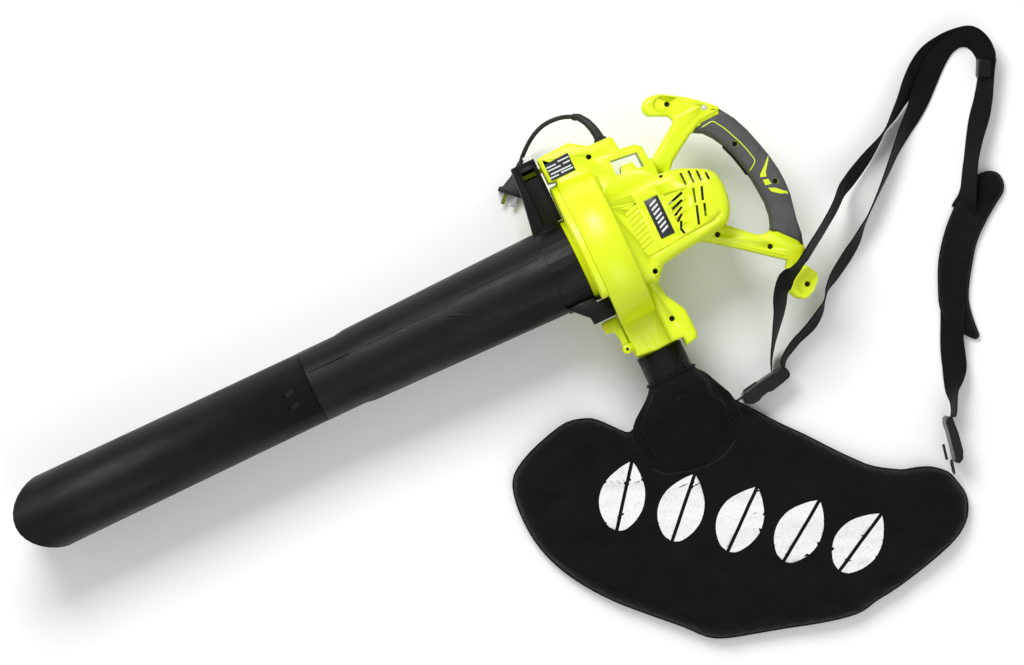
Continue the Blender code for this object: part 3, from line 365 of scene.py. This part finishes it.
def filled(outline, step):
    """Triangles that fill an outline in (u, v), with points every step inside it."""
    low = [min(p[k] for p in outline) for k in (0, 1)]
    high = [max(p[k] for p in outline) for k in (0, 1)]
    inner = []
    rows = int((high[1] - low[1]) / step) + 1
    for j in range(rows):
        v = low[1] + (j + 0.5) * step
        for i in range(int((high[0] - low[0]) / step) + 1):
            u = low[0] + (i + 0.5 * (j % 2)) * step
            inner.append(Vector((u, v)))
    count = len(outline)
    edge = np.array(outline)
    inner = [p for p in inner if inside(p, outline) and edge_distance(p, edge) > 0.45 * step]
    points = [Vector(p) for p in outline] + inner
    found = geometry.delaunay_2d_cdt(points, [], [list(range(count))], 1, 1e-5)
    return [tuple(p) for p in found[0]], [list(f) for f in found[2]]


def inside(p, outline):
    """Whether a point lies in an outline."""
    hits = False
    for (x0, y0), (x1, y1) in zip(outline, outline[1:] + outline[:1]):
        if (y0 > p[1]) != (y1 > p[1]) and p[0] < (x1 - x0) * (p[1] - y0) / (y1 - y0) + x0:
            hits = not hits
    return hits


def edge_distance(p, edge):
    """How far a point is from a closed outline, an array of its corners."""
    a, b = edge, np.roll(edge, -1, axis=0)
    way = b - a
    share = np.clip(((np.array(p) - a) * way).sum(1) / np.maximum((way ** 2).sum(1), 1e-9), 0, 1)
    return float(np.sqrt((((a + way * share[:, None]) - np.array(p)) ** 2).sum(1)).min())


def draped(outline, surface, lift, sink=0.4, step=3.0, side=1):
    """A thin closed skin on a surface: it stands lift above it and reaches sink into it, in mm."""
    points, faces = filled(outline, step)
    bm = bmesh.new()
    top, bottom = [], []
    for u, v in points:
        start = at(u, v, 400 * side)
        hit = surface.ray_cast(start, Vector((0, 0, -side)))[0]
        height = (hit.z - AXIS.z) / MM if hit else 0.0
        top.append(bm.verts.new(at(u, v, height + side * lift)))
        bottom.append(bm.verts.new(at(u, v, height - side * sink)))
    for face in faces:
        bm.faces.new([top[i] for i in face])
        bm.faces.new([bottom[i] for i in reversed(face)])
    uses = {}
    for face in faces:
        for i, j in zip(face, face[1:] + face[:1]):
            uses[frozenset((i, j))] = None if frozenset((i, j)) in uses else (i, j)
    for pair in filter(None, uses.values()):
        i, j = pair
        bm.faces.new((top[j], top[i], bottom[i], bottom[j]))
    bmesh.ops.recalc_face_normals(bm, faces=bm.faces)
    return bm


def line_piece(name, points, radius, look, body, closed=False):
    """A round cord or bead along points in the frame, as a curve."""
    curve = bpy.data.curves.new(name, "CURVE")
    curve.dimensions = "3D"
    curve.bevel_depth = radius
    curve.bevel_resolution = 4
    curve.use_fill_caps = True
    spline = curve.splines.new("POLY")
    spline.points.add(len(points) - 1)
    for point, place in zip(spline.points, points):
        point.co = (*place, 1)
    spline.use_cyclic_u = closed
    curve.materials.append(look)
    made = bpy.data.objects.new(name, curve)
    bpy.context.collection.objects.link(made)
    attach(made, body)
    return made


def refined(node, look, body, name=None, cutters=()):
    """A CAD node's own shape with welded corners and smooth shading, shown in its place."""
    made = piece(name or node + "_skin", welded(node), look, body)
    if cutters:
        cut(made, cutters)
        made.data.materials.clear()
        made.data.materials.append(look)
    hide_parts(node)
    return made


# ---- camera, and the lead that it sees ----------------------------------------------------
VIEW_TURN = radians(-25.4)   # the motor axis rises to the right in the picture
VIEW_WIDTH = 1.536           # metres across the picture at the height looked at
DISTANCE = 5.0
SENSOR = 36.0


def camera():
    data = bpy.data.cameras.new("camera")
    data.sensor_width = SENSOR
    data.lens = SENSOR * DISTANCE / VIEW_WIDTH
    data.clip_end = 50
    made = bpy.data.objects.new("camera", data)
    made.location = at(-165, -54, -38) + Vector((0, 0, DISTANCE))
    made.rotation_euler = (0, 0, VIEW_TURN)
    bpy.context.collection.objects.link(made)
    bpy.context.scene.camera = made


CORD_D = 0.007
CORD_ROUTE = [(54.6, 197.5, 107.5), (51.5, 199.5, 106.2), (48.0, 201.2, 104.5), (44.0, 202.9, 102.0),
              (39.5, 204.4, 99.0), (35.0, 205.6, 95.4), (30.0, 206.5, 91.5), (20.0, 207.4, 82.5),
              (10.0, 206.8, 72.5), (1.0, 204.6, 62.5), (-7.5, 201.2, 52.0), (-15.5, 196.8, 41.5),
              (-22.5, 192.0, 32.0), (-29.0, 186.8, 24.0), (-35.0, 181.6, 17.5), (-39.1, 177.2, 13.5),
              (-42.5, 173.5, 13.5)]


def lead():
    """The short mains lead, from its strain relief to its plug on the ground."""
    route = [at(u, v, GROUND + z) for u, v, z in CORD_ROUTE]
    flex = line_piece("lead", route, CORD_D / 2, SHEATH, "machine")
    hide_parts("mains_cord")
    boot = refined("cord_boot", SHEATH, "machine")
    plug = refined("mains_plug", SHEATH, "machine")
    pins = [refined(f"plug_pin_{name}", STEEL, "machine") for name in "ab"]


# ---- casing -------------------------------------------------------------------------------
# the slanting recesses beside the vents of the motor housing
VENT_RECESSES = [[(122.9, 32.1), (140.8, 30.8), (124.2, 22.5)],
                 [(122.9, 16.8), (124.5, 9.7), (149.7, 20.3), (153.5, 28.3), (150.6, 28.8)],
                 [(123.8, 4.6), (124.4, -2.8), (144.2, 4.9), (148.5, 14.5)],
                 [(123.7, -6.1), (123.7, -15.5), (137.6, -10), (141.8, -1.2)],
                 [(122.9, -21.9), (124.3, -24.8), (132.2, -23.2), (135.4, -16.6)]]
HIDDEN_SCREW = (131.1, 59.9)      # where the upper arm meets the motor housing


def casing_grooves(side):
    """Moulded lines and recesses in one half of the casing."""
    def sunk(outline, top, depth):
        return prism(outline, *sorted((side * (top - depth), side * (top + 4))))

    found = []
    for k in range(9):
        v = -30 + 7.6 * k
        found.append(sunk([(60, v), (80, v + 6), (80, v + 9.4), (60, v + 3.4)], MOTOR_TOP, 1.7))
    found.append(sunk(along([(57, 42.5), (81, 39)], 1.6), MOTOR_TOP, 1.2))
    found.append(sunk(along([(80.6, 64), (82.4, 30), (84.5, -38)], 1.8), MOTOR_TOP, 1.1))
    found.append(sunk(along([(114, 60), (116.3, 36), (118, -31)], 1.8), MOTOR_TOP, 1.1))
    found.append(sunk(along([(64, -40), (120, -36), (172, -33), (194, -24)], 1.4), MOTOR_TOP, 0.9))
    found.append(sunk(oval((189, 151), 41, 27, radians(-33)), ARM_TOP, 1.6))
    found.append(sunk(oval((264, -176), 37, 20, radians(38)), ARM_TOP, 1.6))
    found.append(sunk(oval((236.5, 123.5), 15, 11, radians(-42)), ARM_TOP, 0.7))
    found.append(sunk(along([(158, -54), (200, -87), (246, -123)], 1.2), ARM_TOP, 0.8))
    found.append(sunk(along([(47, 80), (47.5, 100)], 1.6), BOX_TOP, 1.4))
    found += [sunk(outline, MOTOR_TOP, 1.6) for outline in VENT_RECESSES]
    return found


def casings():
    left = refined("casing_left", LIME, "machine", cutters=casing_grooves(1))
    right = refined("casing_right", LIME, "machine", cutters=casing_grooves(-1))
    refined("inlet_cover", LIME, "machine")
    refined("latch_lever", LIME, "latch")
    skins = surface_of(left, right)
    for side, name in ((1, "left"), (-1, "right")):
        ribs = [draped(along([(u, -145), (u + 0.3, -165)], 2.2), skins, 1.1, side=side, step=2)
                for u in (7, 20)]
        piece(f"volute_ribs_{name}", merged(ribs), LIME, "machine")
        # a flat black oval over the screw's recess: painted shade standing for the dark inside of the
        # well
        painted_well_shade = draped(oval(HIDDEN_SCREW, 5.6, 5.5, 0), skins, 0.2, side=side, step=2)
        piece(f"painted_screw_shade_{name}", painted_well_shade, BLACK, "machine")


def trim():
    """Plates, their generic print, screws and the small pieces of the casing."""
    refined("interlock_tab", CREAM, "suction_tube")
    refined("indicator_lens", LENS, "machine")
    badge = refined("badge_plate", PLATE, "machine")
    rating = refined("rating_plate", PLATE, "machine")
    for k in range(1, 11):
        refined(f"casing_screw_{k}", DARK_STEEL, "machine")
    surface = surface_of(badge)
    bars = [draped([(97, v), (109, v + 5), (109, v + 8.5), (97, v + 3.5)], surface, 0.12, 0.1)
            for v in (-17, -10, -3, 4, 11, 18, 25)]
    piece("badge_bars", merged(bars), PLATE_INK, "machine")
    surface = surface_of(rating)
    rows = [((-18, 0), 142), ((4, 22), 144), ((-18, 6), 137), ((10, 25), 138), ((-18, 20), 131),
            ((-18, -2), 126), ((2, 24), 127)]
    marks = [draped(along([(a + (b - a) * k / 8, v + 1.1) for k in range(9)], 2.2), surface, 0.45, 0.3)
             for (a, b), v in rows]
    piece("rating_marks", merged(marks), PLATE_INK, "machine")


# ---- handle -------------------------------------------------------------------------------
INLAY_LINE = [(220, 100), (228, 101), (238, 101), (244, 93), (250, 83), (256, 69), (261, 57), (265, 45),
              (268, 33), (269.5, 22), (262, 15), (253, 10)]
CHEVRONS = [[(292, 24), (293, 18), (277, 0), (275, -7), (266, -4), (268, 0)],
            [(268, -9), (276, -11), (277, -20), (268, -18)],
            [(270, -23), (279, -27), (294, -39), (293, -44), (282, -38), (272, -30)]]


def grips():
    for side, name in ((1, "left"), (-1, "right")):
        grip = refined(f"grip_{name}", GRIP, "machine")
        surface = surface_of(grip)
        line = draped(along(arc(INLAY_LINE, 4), 1.5), surface, 0.25, 0.5, 2.0, side)
        marks = [draped(outline, surface, 0.35, 0.5, 2.0, side) for outline in CHEVRONS]
        piece(f"grip_inlay_{name}", merged([line, *marks]), LIME_INLAY, "machine")
    refined("trigger", BLACK, "trigger")


# ---- tubes and outlet -----------------------------------------------------------------------
def tubes():
    lower = refined("lower_tube", BLACK, "lower_tube")
    upper = refined("upper_tube", BLACK, "suction_tube")
    refined("tube_collar", BLACK, "suction_tube")
    duct = refined("outlet_duct", BLACK, "bag")
    surface = surface_of(upper)
    lines = [([(-462, 22), (-380, 22), (-250, 22)], 1.4), ([(-243, 12), (-172, -24)], 5.0),
             ([(-165, -34), (-84, -34)], 1.8), ([(-215, 28), (-84, 28)], 1.6)]
    beads = [draped(along(points, width), surface, 0.7, 0.5, 3.0, side)
             for points, width in lines for side in (1, -1)]
    piece("upper_tube_ribs", merged(beads), BLACK, "suction_tube")
    surface = surface_of(lower)
    snaps = [draped(oval((-500, v), 15, 7, 0.2), surface, 0.9, 0.5, 2.0, side)
             for v in (5, -15) for side in (1, -1)]
    piece("lower_tube_snaps", merged(snaps), BLACK, "lower_tube")
    surface = surface_of(duct)
    ridge = [draped(along([(33, -174), (33, -208)], 5), surface, 0.8, 0.5, 2.0),
             draped(along([(-6, -193), (22, -194), (52, -193)], 1.2), surface, 0.5, 0.5, 2.0)]
    piece("outlet_ridges", merged(ridge), BLACK, "bag")


# ---- inside the casing ------------------------------------------------------------------------
def paint(look, *nodes):
    """Gives CAD nodes that keep their shape a better material."""
    for node in nodes:
        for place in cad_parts[node].material_slots:
            place.material = look


def workings():
    paint(STEEL, "motor_shaft", "impeller_nut", "front_bearing", "rear_bearing", "stator")
    paint(DARK_STEEL, "latch_pin")
    paint(ALLOY, "impeller")
    paint(COPPER, "armature", "commutator")
    paint(CARBON, "carbon_brush_upper", "carbon_brush_lower")
    paint(BLACK, "power_switch", "brush_holder_upper", "brush_holder_lower", "cooling_fan")


# ---- bag --------------------------------------------------------------------------------------
BAG_OUTLINE = [(-30, -252), (-48, -259), (-60, -266), (-70, -268), (-78, -262), (-90, -248),
               (-105, -231), (-120, -221), (-150, -214), (-190, -222), (-225, -234), (-250, -248),
               (-262, -263), (-268, -283), (-271, -310), (-270, -345), (-263, -380), (-250, -413),
               (-230, -448), (-200, -488), (-160, -530), (-120, -570), (-95, -598), (-70, -612),
               (-30, -624), (20, -638), (70, -653), (110, -662), (135, -664), (160, -659),
               (200, -654), (260, -641), (308, -626), (334, -609), (347, -590), (352, -570),
               (348, -548), (342, -530), (322, -512), (300, -503), (280, -497), (255, -482),
               (238, -469), (225, -455), (200, -425), (170, -386), (140, -350), (112, -312),
               (100, -297), (88, -280), (76, -262), (60, -252), (20, -248)]
RIM = 14.0                   # height of the bag's side seam above the ground
BAG_TOP = 50.0
ON_SEAM = 0.05               # a point nearer to an outline than this lies on its seam


def smooth_outline(corners):
    return [tuple(p) for p in arc([*corners, corners[0]], 3)[:-1]]


def cushion(outline, step, heights):
    """A filled shape sewn along an outline, from the heights of its upper and lower cloth."""
    points, faces = filled(outline, step)
    edge = np.array(outline)
    bm = bmesh.new()
    upper, lower = [], []
    for u, v in points:
        inward = edge_distance((u, v), edge)
        high, low = heights(u, v, inward)
        upper.append(bm.verts.new(at(u, v, GROUND + high)))
        lower.append(upper[-1] if inward < ON_SEAM else bm.verts.new(at(u, v, GROUND + low)))
    for face in faces:
        bm.faces.new([upper[i] for i in face])
        bm.faces.new([lower[i] for i in reversed(face)])
    bmesh.ops.recalc_face_normals(bm, faces=bm.faces)
    return bm


def bag_heights(u, v, inward):
    """Heights above the ground of the bag's upper and lower cloth, inward from its seam."""
    if inward < ON_SEAM:
        return RIM, RIM
    full = sqrt(1 - (1 - min(inward / 52, 1)) ** 2)
    under = sqrt(1 - (1 - min(inward / 24, 1)) ** 2)
    lengthwise = u * cos(0.46) - v * sin(0.46)
    across = u * sin(0.46) + v * cos(0.46)
    long_folds = noise.noise(Vector((lengthwise / 210, across / 48, 3.1)))
    creases = abs(noise.noise(Vector((lengthwise / 95, across / 21, 7.7))))
    near = hypot(u - 15, v + 290)
    gather = sin(13 * atan2(v + 250, u - 15) + 3 * noise.noise(Vector((u / 60, v / 60, 1))))
    pucker = noise.noise(Vector((u / 14, v / 14, 9.0)))
    spine = exp(-((u - 82) / 7) ** 2) * min(1, max(0, (-280 - v) / 25)) * min(1, max(0, (v + 420) / 60))
    top = RIM + (BAG_TOP - RIM) * full
    top += full * (10 * long_folds - 8 * creases + 8 * gather * exp(-near / 80) + 7 * spine)
    top += 2.2 * pucker * exp(-inward / 22)
    return max(top, RIM + 0.5), RIM - (RIM - 1.0) * under


def bag_body():
    outline = smooth_outline(BAG_OUTLINE)
    bm = cushion(outline, 7.0, bag_heights)
    made = piece("bag_body", bm, CLOTH, "bag", radians(80))
    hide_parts("collecting_bag")
    rim = [at(u, v, GROUND + RIM) for u, v in outline]
    line_piece("bag_piping", rim, 0.0016, WEBBING, "bag", closed=True)
    return made


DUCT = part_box("outlet_duct")
DUCT_U = ((DUCT[0].x + DUCT[1].x) / 2 - AXIS.x) / MM
DUCT_W = ((DUCT[0].z + DUCT[1].z) / 2 - AXIS.z) / MM
SLEEVE = [(-213, DUCT_U, DUCT_W, 37.3, 43.9), (-220, DUCT_U, DUCT_W, 38.4, 44.6),
          (-230, 22, DUCT_W, 46.0, 46.0), (-242, 18, DUCT_W - 3, 56.0, 47.0),
          (-256, 13, DUCT_W - 10, 66.0, 46.0), (-272, 11, DUCT_W - 22, 74.0, 42.0),
          (-290, 12, GROUND + 47, 77.0, 39.0), (-310, 13, GROUND + 40, 77.0, 33.0),
          (-335, 12, GROUND + 32, 75.0, 27.0), (-358, 8, GROUND + 26, 64.0, 23.0)]


def sleeve():
    """The bag's gathered neck, held round the outlet duct by an elastic hem."""
    stations = arc(SLEEVE, 5)
    turns = 96
    bm = bmesh.new()
    rings = []
    for v, u0, w0, half_u, half_w in stations:
        share = min(1.0, max(0.0, (-v - 216) / 60))
        ring = []
        for k in range(turns):
            angle = 2 * pi * k / turns
            fold = sin(11 * angle + 2.2 * noise.noise(Vector((cos(angle) * 2, sin(angle) * 2, v / 30))))
            fine = sin(34 * angle + 5 * noise.noise(Vector((cos(angle) * 3, sin(angle) * 3, v / 18))))
            grow = 1 + 0.075 * share * fold + 0.012 * (1 - share) * fine
            ring.append(bm.verts.new(at(u0 + half_u * grow * cos(angle), v + 1.5 * share * fold,
                                        max(w0 + half_w * grow * sin(angle), GROUND + 3))))
        rings.append(ring)
    for a, b in zip(rings, rings[1:]):
        for k in range(turns):
            j = (k + 1) % turns
            bm.faces.new((a[k], a[j], b[j], b[k]))
    bmesh.ops.recalc_face_normals(bm, faces=bm.faces)
    made = piece("bag_sleeve", bm, CLOTH, "bag", radians(80))
    hem = made.modifiers.new("cloth", "SOLIDIFY")
    hem.thickness = 0.0012
    hem.offset = 0
    cuff = [at(DUCT_U + 38.6 * cos(a), -215, DUCT_W + 45.2 * sin(a))
            for a in (2 * pi * k / 64 for k in range(64))]
    line_piece("bag_cuff", cuff, 0.0019, WEBBING, "bag", closed=True)
    return made


LEAF = [(0, 0), (8, 13), (22, 25), (40, 30), (60, 26), (78, 13), (92, 0), (78, -12), (60, -23),
        (40, -26), (22, -21), (8, -11)]
LEAVES = 5
LEAF_FIRST, LEAF_STEP = Vector((-118, -350)), Vector((73, -54))
LEAF_GAP = 2.2               # half width of the bare rib along a leaf


def leaf_print(bag, neck):
    """A row of plain leaves along the bag."""
    surface = surface_of(bag, neck)
    marks = []
    for k in range(LEAVES):
        centre = LEAF_FIRST + LEAF_STEP * k
        turn = radians(52 - 6 * k)
        for half in (1, -1):
            shape = [p for p in LEAF if half * p[1] >= 0]
            shape = [p for p in shape if p[1]][::half]
            outline = []
            rib = [(88 - 6 * i, LEAF_GAP * half) for i in range(1, 14)]
            for x, y in [*arc([(4, LEAF_GAP * half), *shape, (88, LEAF_GAP * half)], 3), *rib]:
                x, y = (x - 46) * 1.25, y * 1.22
                outline.append((centre.x + x * cos(turn) - y * sin(turn),
                                centre.y + x * sin(turn) + y * cos(turn)))
            if half < 0:
                outline.reverse()
            marks.append(draped(outline, surface, 0.35, 0.3, 3.5))
    piece("bag_leaves", merged(marks), PRINT, "bag", radians(80))


def bag():
    body = bag_body()
    neck = sleeve()
    leaf_print(body, neck)
    surface = surface_of(body)
    zip_line = arc([(-254, -385), (-240, -415), (-212, -452), (-180, -490), (-145, -527), (-110, -561),
                    (-80, -590), (-55, -604)], 8)
    piece("bag_zip", draped(along(zip_line, 5), surface, 0.9, 0.5, 2.5), WEBBING, "bag")
    seam = arc([(-62, -330), (-50, -345), (-28, -354), (6, -361), (40, -360), (66, -348), (80, -330)], 6)
    surface = surface_of(body, neck)
    piece("bag_neck_seam", draped(along(seam, 3.5), surface, 0.8, 0.5, 2.0), STITCH, "bag",
          radians(80))


# ---- strap ------------------------------------------------------------------------------------
WIDTH, THICK = 38.0, 1.8     # the webbing
# the strap's centrelines: u, v, height above the ground and roll in degrees, 0 where it lies flat
STRAP_OVER = [(166, -274, 24, 85), (172, -262, 26, 84), (179, -250, 36, 81), (188, -234, 62, 73),
              (197, -217, 98, 66), (209, -194, 132, 58), (219, -173, 157, 52), (234, -157, 159, 49),
              (248, -151, 159, 64), (262, -145, 162, 72), (283, -133, 159, 69), (323, -111, 104, 69),
              (354, -92, 60, 68), (378, -74, 36, 64), (398, -64, 24, 59), (433, -46, 21, 64),
              (464, -29, 22, 79), (479, -19, 22, 84), (500, -5, 22, 72), (521, 11, 22, 62),
              (543, 28, 20, 45), (566, 43, 16, 30), (588, 55, 16, 30), (613, 62, 20, 45),
              (635, 63, 22, 54), (655, 56, 22, 48), (665, 40, 22, 51), (667, 21, 22, 56),
              (664, 11, 20, 58)]
STRAP_UNDER = [(183, -278, 22, 76), (189, -269, 20, 75), (198, -262, 19.5, 73), (209, -256, 19, 70),
               (221, -250, 19, 70), (233, -246, 19, 69), (253, -238, 18.5, 66), (271, -226, 19.5, 72),
               (285, -213, 20, 84), (296, -199, 20, 79), (314, -186, 19, 67), (343, -168, 18.5, 63),
               (366, -153, 19, 68), (386, -136, 20, 79), (400, -125, 20.5, 84), (428, -101, 20, 82),
               (455, -77, 19.5, 76), (481, -53, 19, 69), (506, -32, 16.5, 56), (530, -14, 14, 45),
               (551, 5, 11, 32), (576, 28, 10.5, 30), (597, 45, 11.5, 34), (617, 55, 14.5, 46),
               (637, 57, 17, 55), (654, 51, 17, 52), (662, 37, 17, 54), (663, 21, 16.5, 58),
               (661, 11, 15, 59)]
STRAP_SINGLE = [(667, 13, 20, 59), (658, -1, 19, 59), (648, -18, 18, 58), (632, -43, 16.5, 51),
                (616, -64, 15.5, 46), (597, -88, 17.5, 56), (580, -112, 19, 63), (568, -131, 19, 62),
                (555, -154, 19, 59), (546, -168, 14, 48), (534, -181, 7, 19)]
STRAP_LOWER = [(469, -281, 6, 15), (462, -298, 7, 19), (453, -314, 12, 27), (444, -331, 13, 32),
               (434, -352, 12, 30), (426, -375, 9, 19), (420, -391, 11, 25), (410, -408, 15, 48),
               (401, -422, 20, 69), (396, -435, 23, 81), (390, -448, 25, 85), (384, -457, 26, 87)]
PAD_OUTLINE = [(568, -150), (574, -143), (585, -142), (598, -145), (607, -154), (608, -168), (601, -181),
               (583, -193), (560, -209), (533, -232), (513, -258), (494, -286), (483, -308), (478, -331),
               (476, -351), (475, -362), (469, -365), (461, -357), (454, -348), (445, -333), (439, -318),
               (441, -297), (450, -273), (468, -236), (490, -206), (513, -182), (535, -165), (545, -170),
               (553, -176), (560, -167)]
PAD_TOP = 15.0
PAD_SEAM = 6.0               # height of the pad's bound edge
PAD_EDGE = 9.0               # width of its rounded border
SLIDER = [(652, 19), (670, 7), (657, -17), (639, -6)]
SLIDER_REACH = (2, 33)       # its lowest and highest points above the ground
HOOKS = {1: [(165, -277), (178.3, -275.8), (186.7, -279.8), (188.4, -289.6), (185.4, -294.6),
             (177.1, -297.1), (164, -300.5), (151.3, -302.8), (145.6, -301.4), (133.9, -304.2),
             (128.6, -307.4), (118, -308), (109, -303.7), (107.5, -292.3), (113, -286), (119.3, -285),
             (142.5, -280.7)],
         2: [(372, -452), (377, -451), (381.4, -456), (380.5, -463), (379.5, -479), (374.5, -507),
             (369, -519), (361, -523), (357, -519), (359, -510.8), (366.5, -473.5), (368, -459.5)]}
HOOK_GROWTH = 0.6


def webbing(stations, steps=4, cells=6):
    """A woven band through stations, with a slightly thicker selvedge along both edges."""
    run = arc(stations, steps)
    bm = bmesh.new()
    rows = []
    for i, station in enumerate(run):
        before, after = run[max(i - 1, 0)], run[min(i + 1, len(run) - 1)]
        ahead = Vector((after - before)[:3]).normalized()
        flat = Vector((-ahead.y, ahead.x, 0)).normalized()
        roll = radians(station[3])
        across = flat * cos(roll) - flat.cross(ahead) * sin(roll)
        through = ahead.cross(across).normalized()
        resting = WIDTH / 2 * abs(sin(roll)) + THICK
        middle = Vector((station[0], station[1], GROUND + max(station[2], resting)))
        upper, lower = [], []
        for k in range(cells + 1):
            share = 2 * k / cells - 1
            half = THICK / 2 * (1.12 if abs(share) > 0.9 else 1.0)
            place = middle + across * share * WIDTH / 2
            upper.append(bm.verts.new(at(*(place + through * half))))
            lower.append(bm.verts.new(at(*(place - through * half))))
        rows.append(upper + lower[::-1])
    for a, b in zip(rows, rows[1:]):
        for k in range(len(a)):
            j = (k + 1) % len(a)
            bm.faces.new((a[k], b[k], b[j], a[j]))
    for row in (rows[0], rows[-1]):
        for k in range(cells):
            bm.faces.new((row[k], row[k + 1], row[-k - 2], row[-k - 1]))
    bmesh.ops.recalc_face_normals(bm, faces=bm.faces)
    return bm


def slider():
    """The moulded buckle round the webbing, as a solid block."""
    block = prism(SLIDER, *(GROUND + height for height in SLIDER_REACH))
    block = piece("strap_slider_skin", block, BLACK, "bag")
    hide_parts("strap_slider")
    soften(block, 2.5)


def snap_hook(k):
    """A black snap hook as one closed body, a little thicker than the hook that it stands for."""
    low, high = (corner.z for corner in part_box(f"snap_hook_{k}"))
    low, high = (low - AXIS.z) / MM - HOOK_GROWTH, (high - AXIS.z) / MM + HOOK_GROWTH
    body = piece(f"snap_hook_{k}_skin", prism(HOOKS[k], low, high), DARK_STEEL, "bag")
    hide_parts(f"snap_hook_{k}")
    soften(body, 1.8)


def soften(made, width):
    """Rounds every edge of a block by width mm."""
    bevel = made.modifiers.new("rounded", "BEVEL")
    bevel.width = width * MM
    bevel.segments = 3
    bevel.limit_method = "ANGLE"


def pad_heights(u, v, inward):
    """Heights above the ground of the pad's upper and lower cloth, inward from its seam."""
    full = sqrt(1 - (1 - min(inward / PAD_EDGE, 1)) ** 2)
    wave = 0.8 * noise.noise(Vector((u / 24, v / 24, 2.5)))
    return PAD_SEAM + full * (PAD_TOP - PAD_SEAM + wave), PAD_SEAM - (PAD_SEAM - 1) * full


def shoulder_pad():
    """The padded shoulder piece, with a bound edge."""
    outline = smooth_outline(PAD_OUTLINE)
    bm = cushion(outline, 3.5, pad_heights)
    pad = piece("shoulder_pad_skin", bm, PAD_CLOTH, "bag", radians(80))
    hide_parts("shoulder_pad")
    hem = [at(u, v, GROUND + PAD_SEAM) for u, v in outline]
    line_piece("pad_binding", hem, 0.0013, WEBBING, "bag", closed=True)


def strap():
    for name, stations in (("strap_over", STRAP_OVER), ("strap_under", STRAP_UNDER),
                           ("strap_single", STRAP_SINGLE), ("strap_lower", STRAP_LOWER)):
        made = piece(name + "_webbing", webbing(stations), WEBBING, "bag", radians(50))
        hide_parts(name)
    slider()
    for k in (1, 2):
        snap_hook(k)
        refined(f"hook_gate_{k}", DARK_STEEL, f"hook_gate_{k}")
        refined(f"bag_ring_{k}", DARK_STEEL, "bag")
    shoulder_pad()


# ---- floor and light --------------------------------------------------------------------------
def area_light(name, place, target, size, power, color=(1, 1, 1)):
    data = bpy.data.lights.new(name, "AREA")
    data.shape = "RECTANGLE"
    data.size, data.size_y = size
    data.energy = power
    data.color = color
    made = bpy.data.objects.new(name, data)
    made.location = place
    made.rotation_euler = (Vector(target) - Vector(place)).to_track_quat("-Z", "Y").to_euler()
    bpy.context.collection.objects.link(made)


def studio():
    floor = Nodes("floor", (0.92, 0.92, 0.93), 0.8)
    floor.tint(floor.noise(3, 3), 0.99, 1.0)
    bm = bmesh.new()
    bmesh.ops.create_grid(bm, x_segments=2, y_segments=2, size=8)
    bmesh.ops.translate(bm, verts=bm.verts, vec=(0, 0, AXIS.z + GROUND * MM - 0.0008))
    mesh = bpy.data.meshes.new("floor")
    bm.to_mesh(mesh)
    bm.free()
    mesh.materials.append(floor.material)
    made = bpy.data.objects.new("floor", mesh)
    bpy.context.collection.objects.link(made)
    world = bpy.data.worlds.new("studio")
    world.use_nodes = True
    world.node_tree.nodes["Background"].inputs["Color"].default_value = (1, 1, 1, 1)
    world.node_tree.nodes["Background"].inputs["Strength"].default_value = 0.6
    bpy.context.scene.world = world
    up = Vector((-sin(VIEW_TURN), cos(VIEW_TURN), 0))
    right = Vector((cos(VIEW_TURN), sin(VIEW_TURN), 0))
    middle = at(-50, -60)
    area_light("key", middle + up * 1.7 - right * 0.9 + Vector((0, 0, 2.4)), middle, (1.6, 1.2), 75)
    area_light("fill", middle - up * 1.9 + right * 0.9 + Vector((0, 0, 2.2)), middle, (1.8, 1.8), 16)
    bpy.context.scene.view_settings.view_transform = "Standard"


camera()
lead()
casings()
trim()
grips()
tubes()
workings()
bag()
strap()
studio()
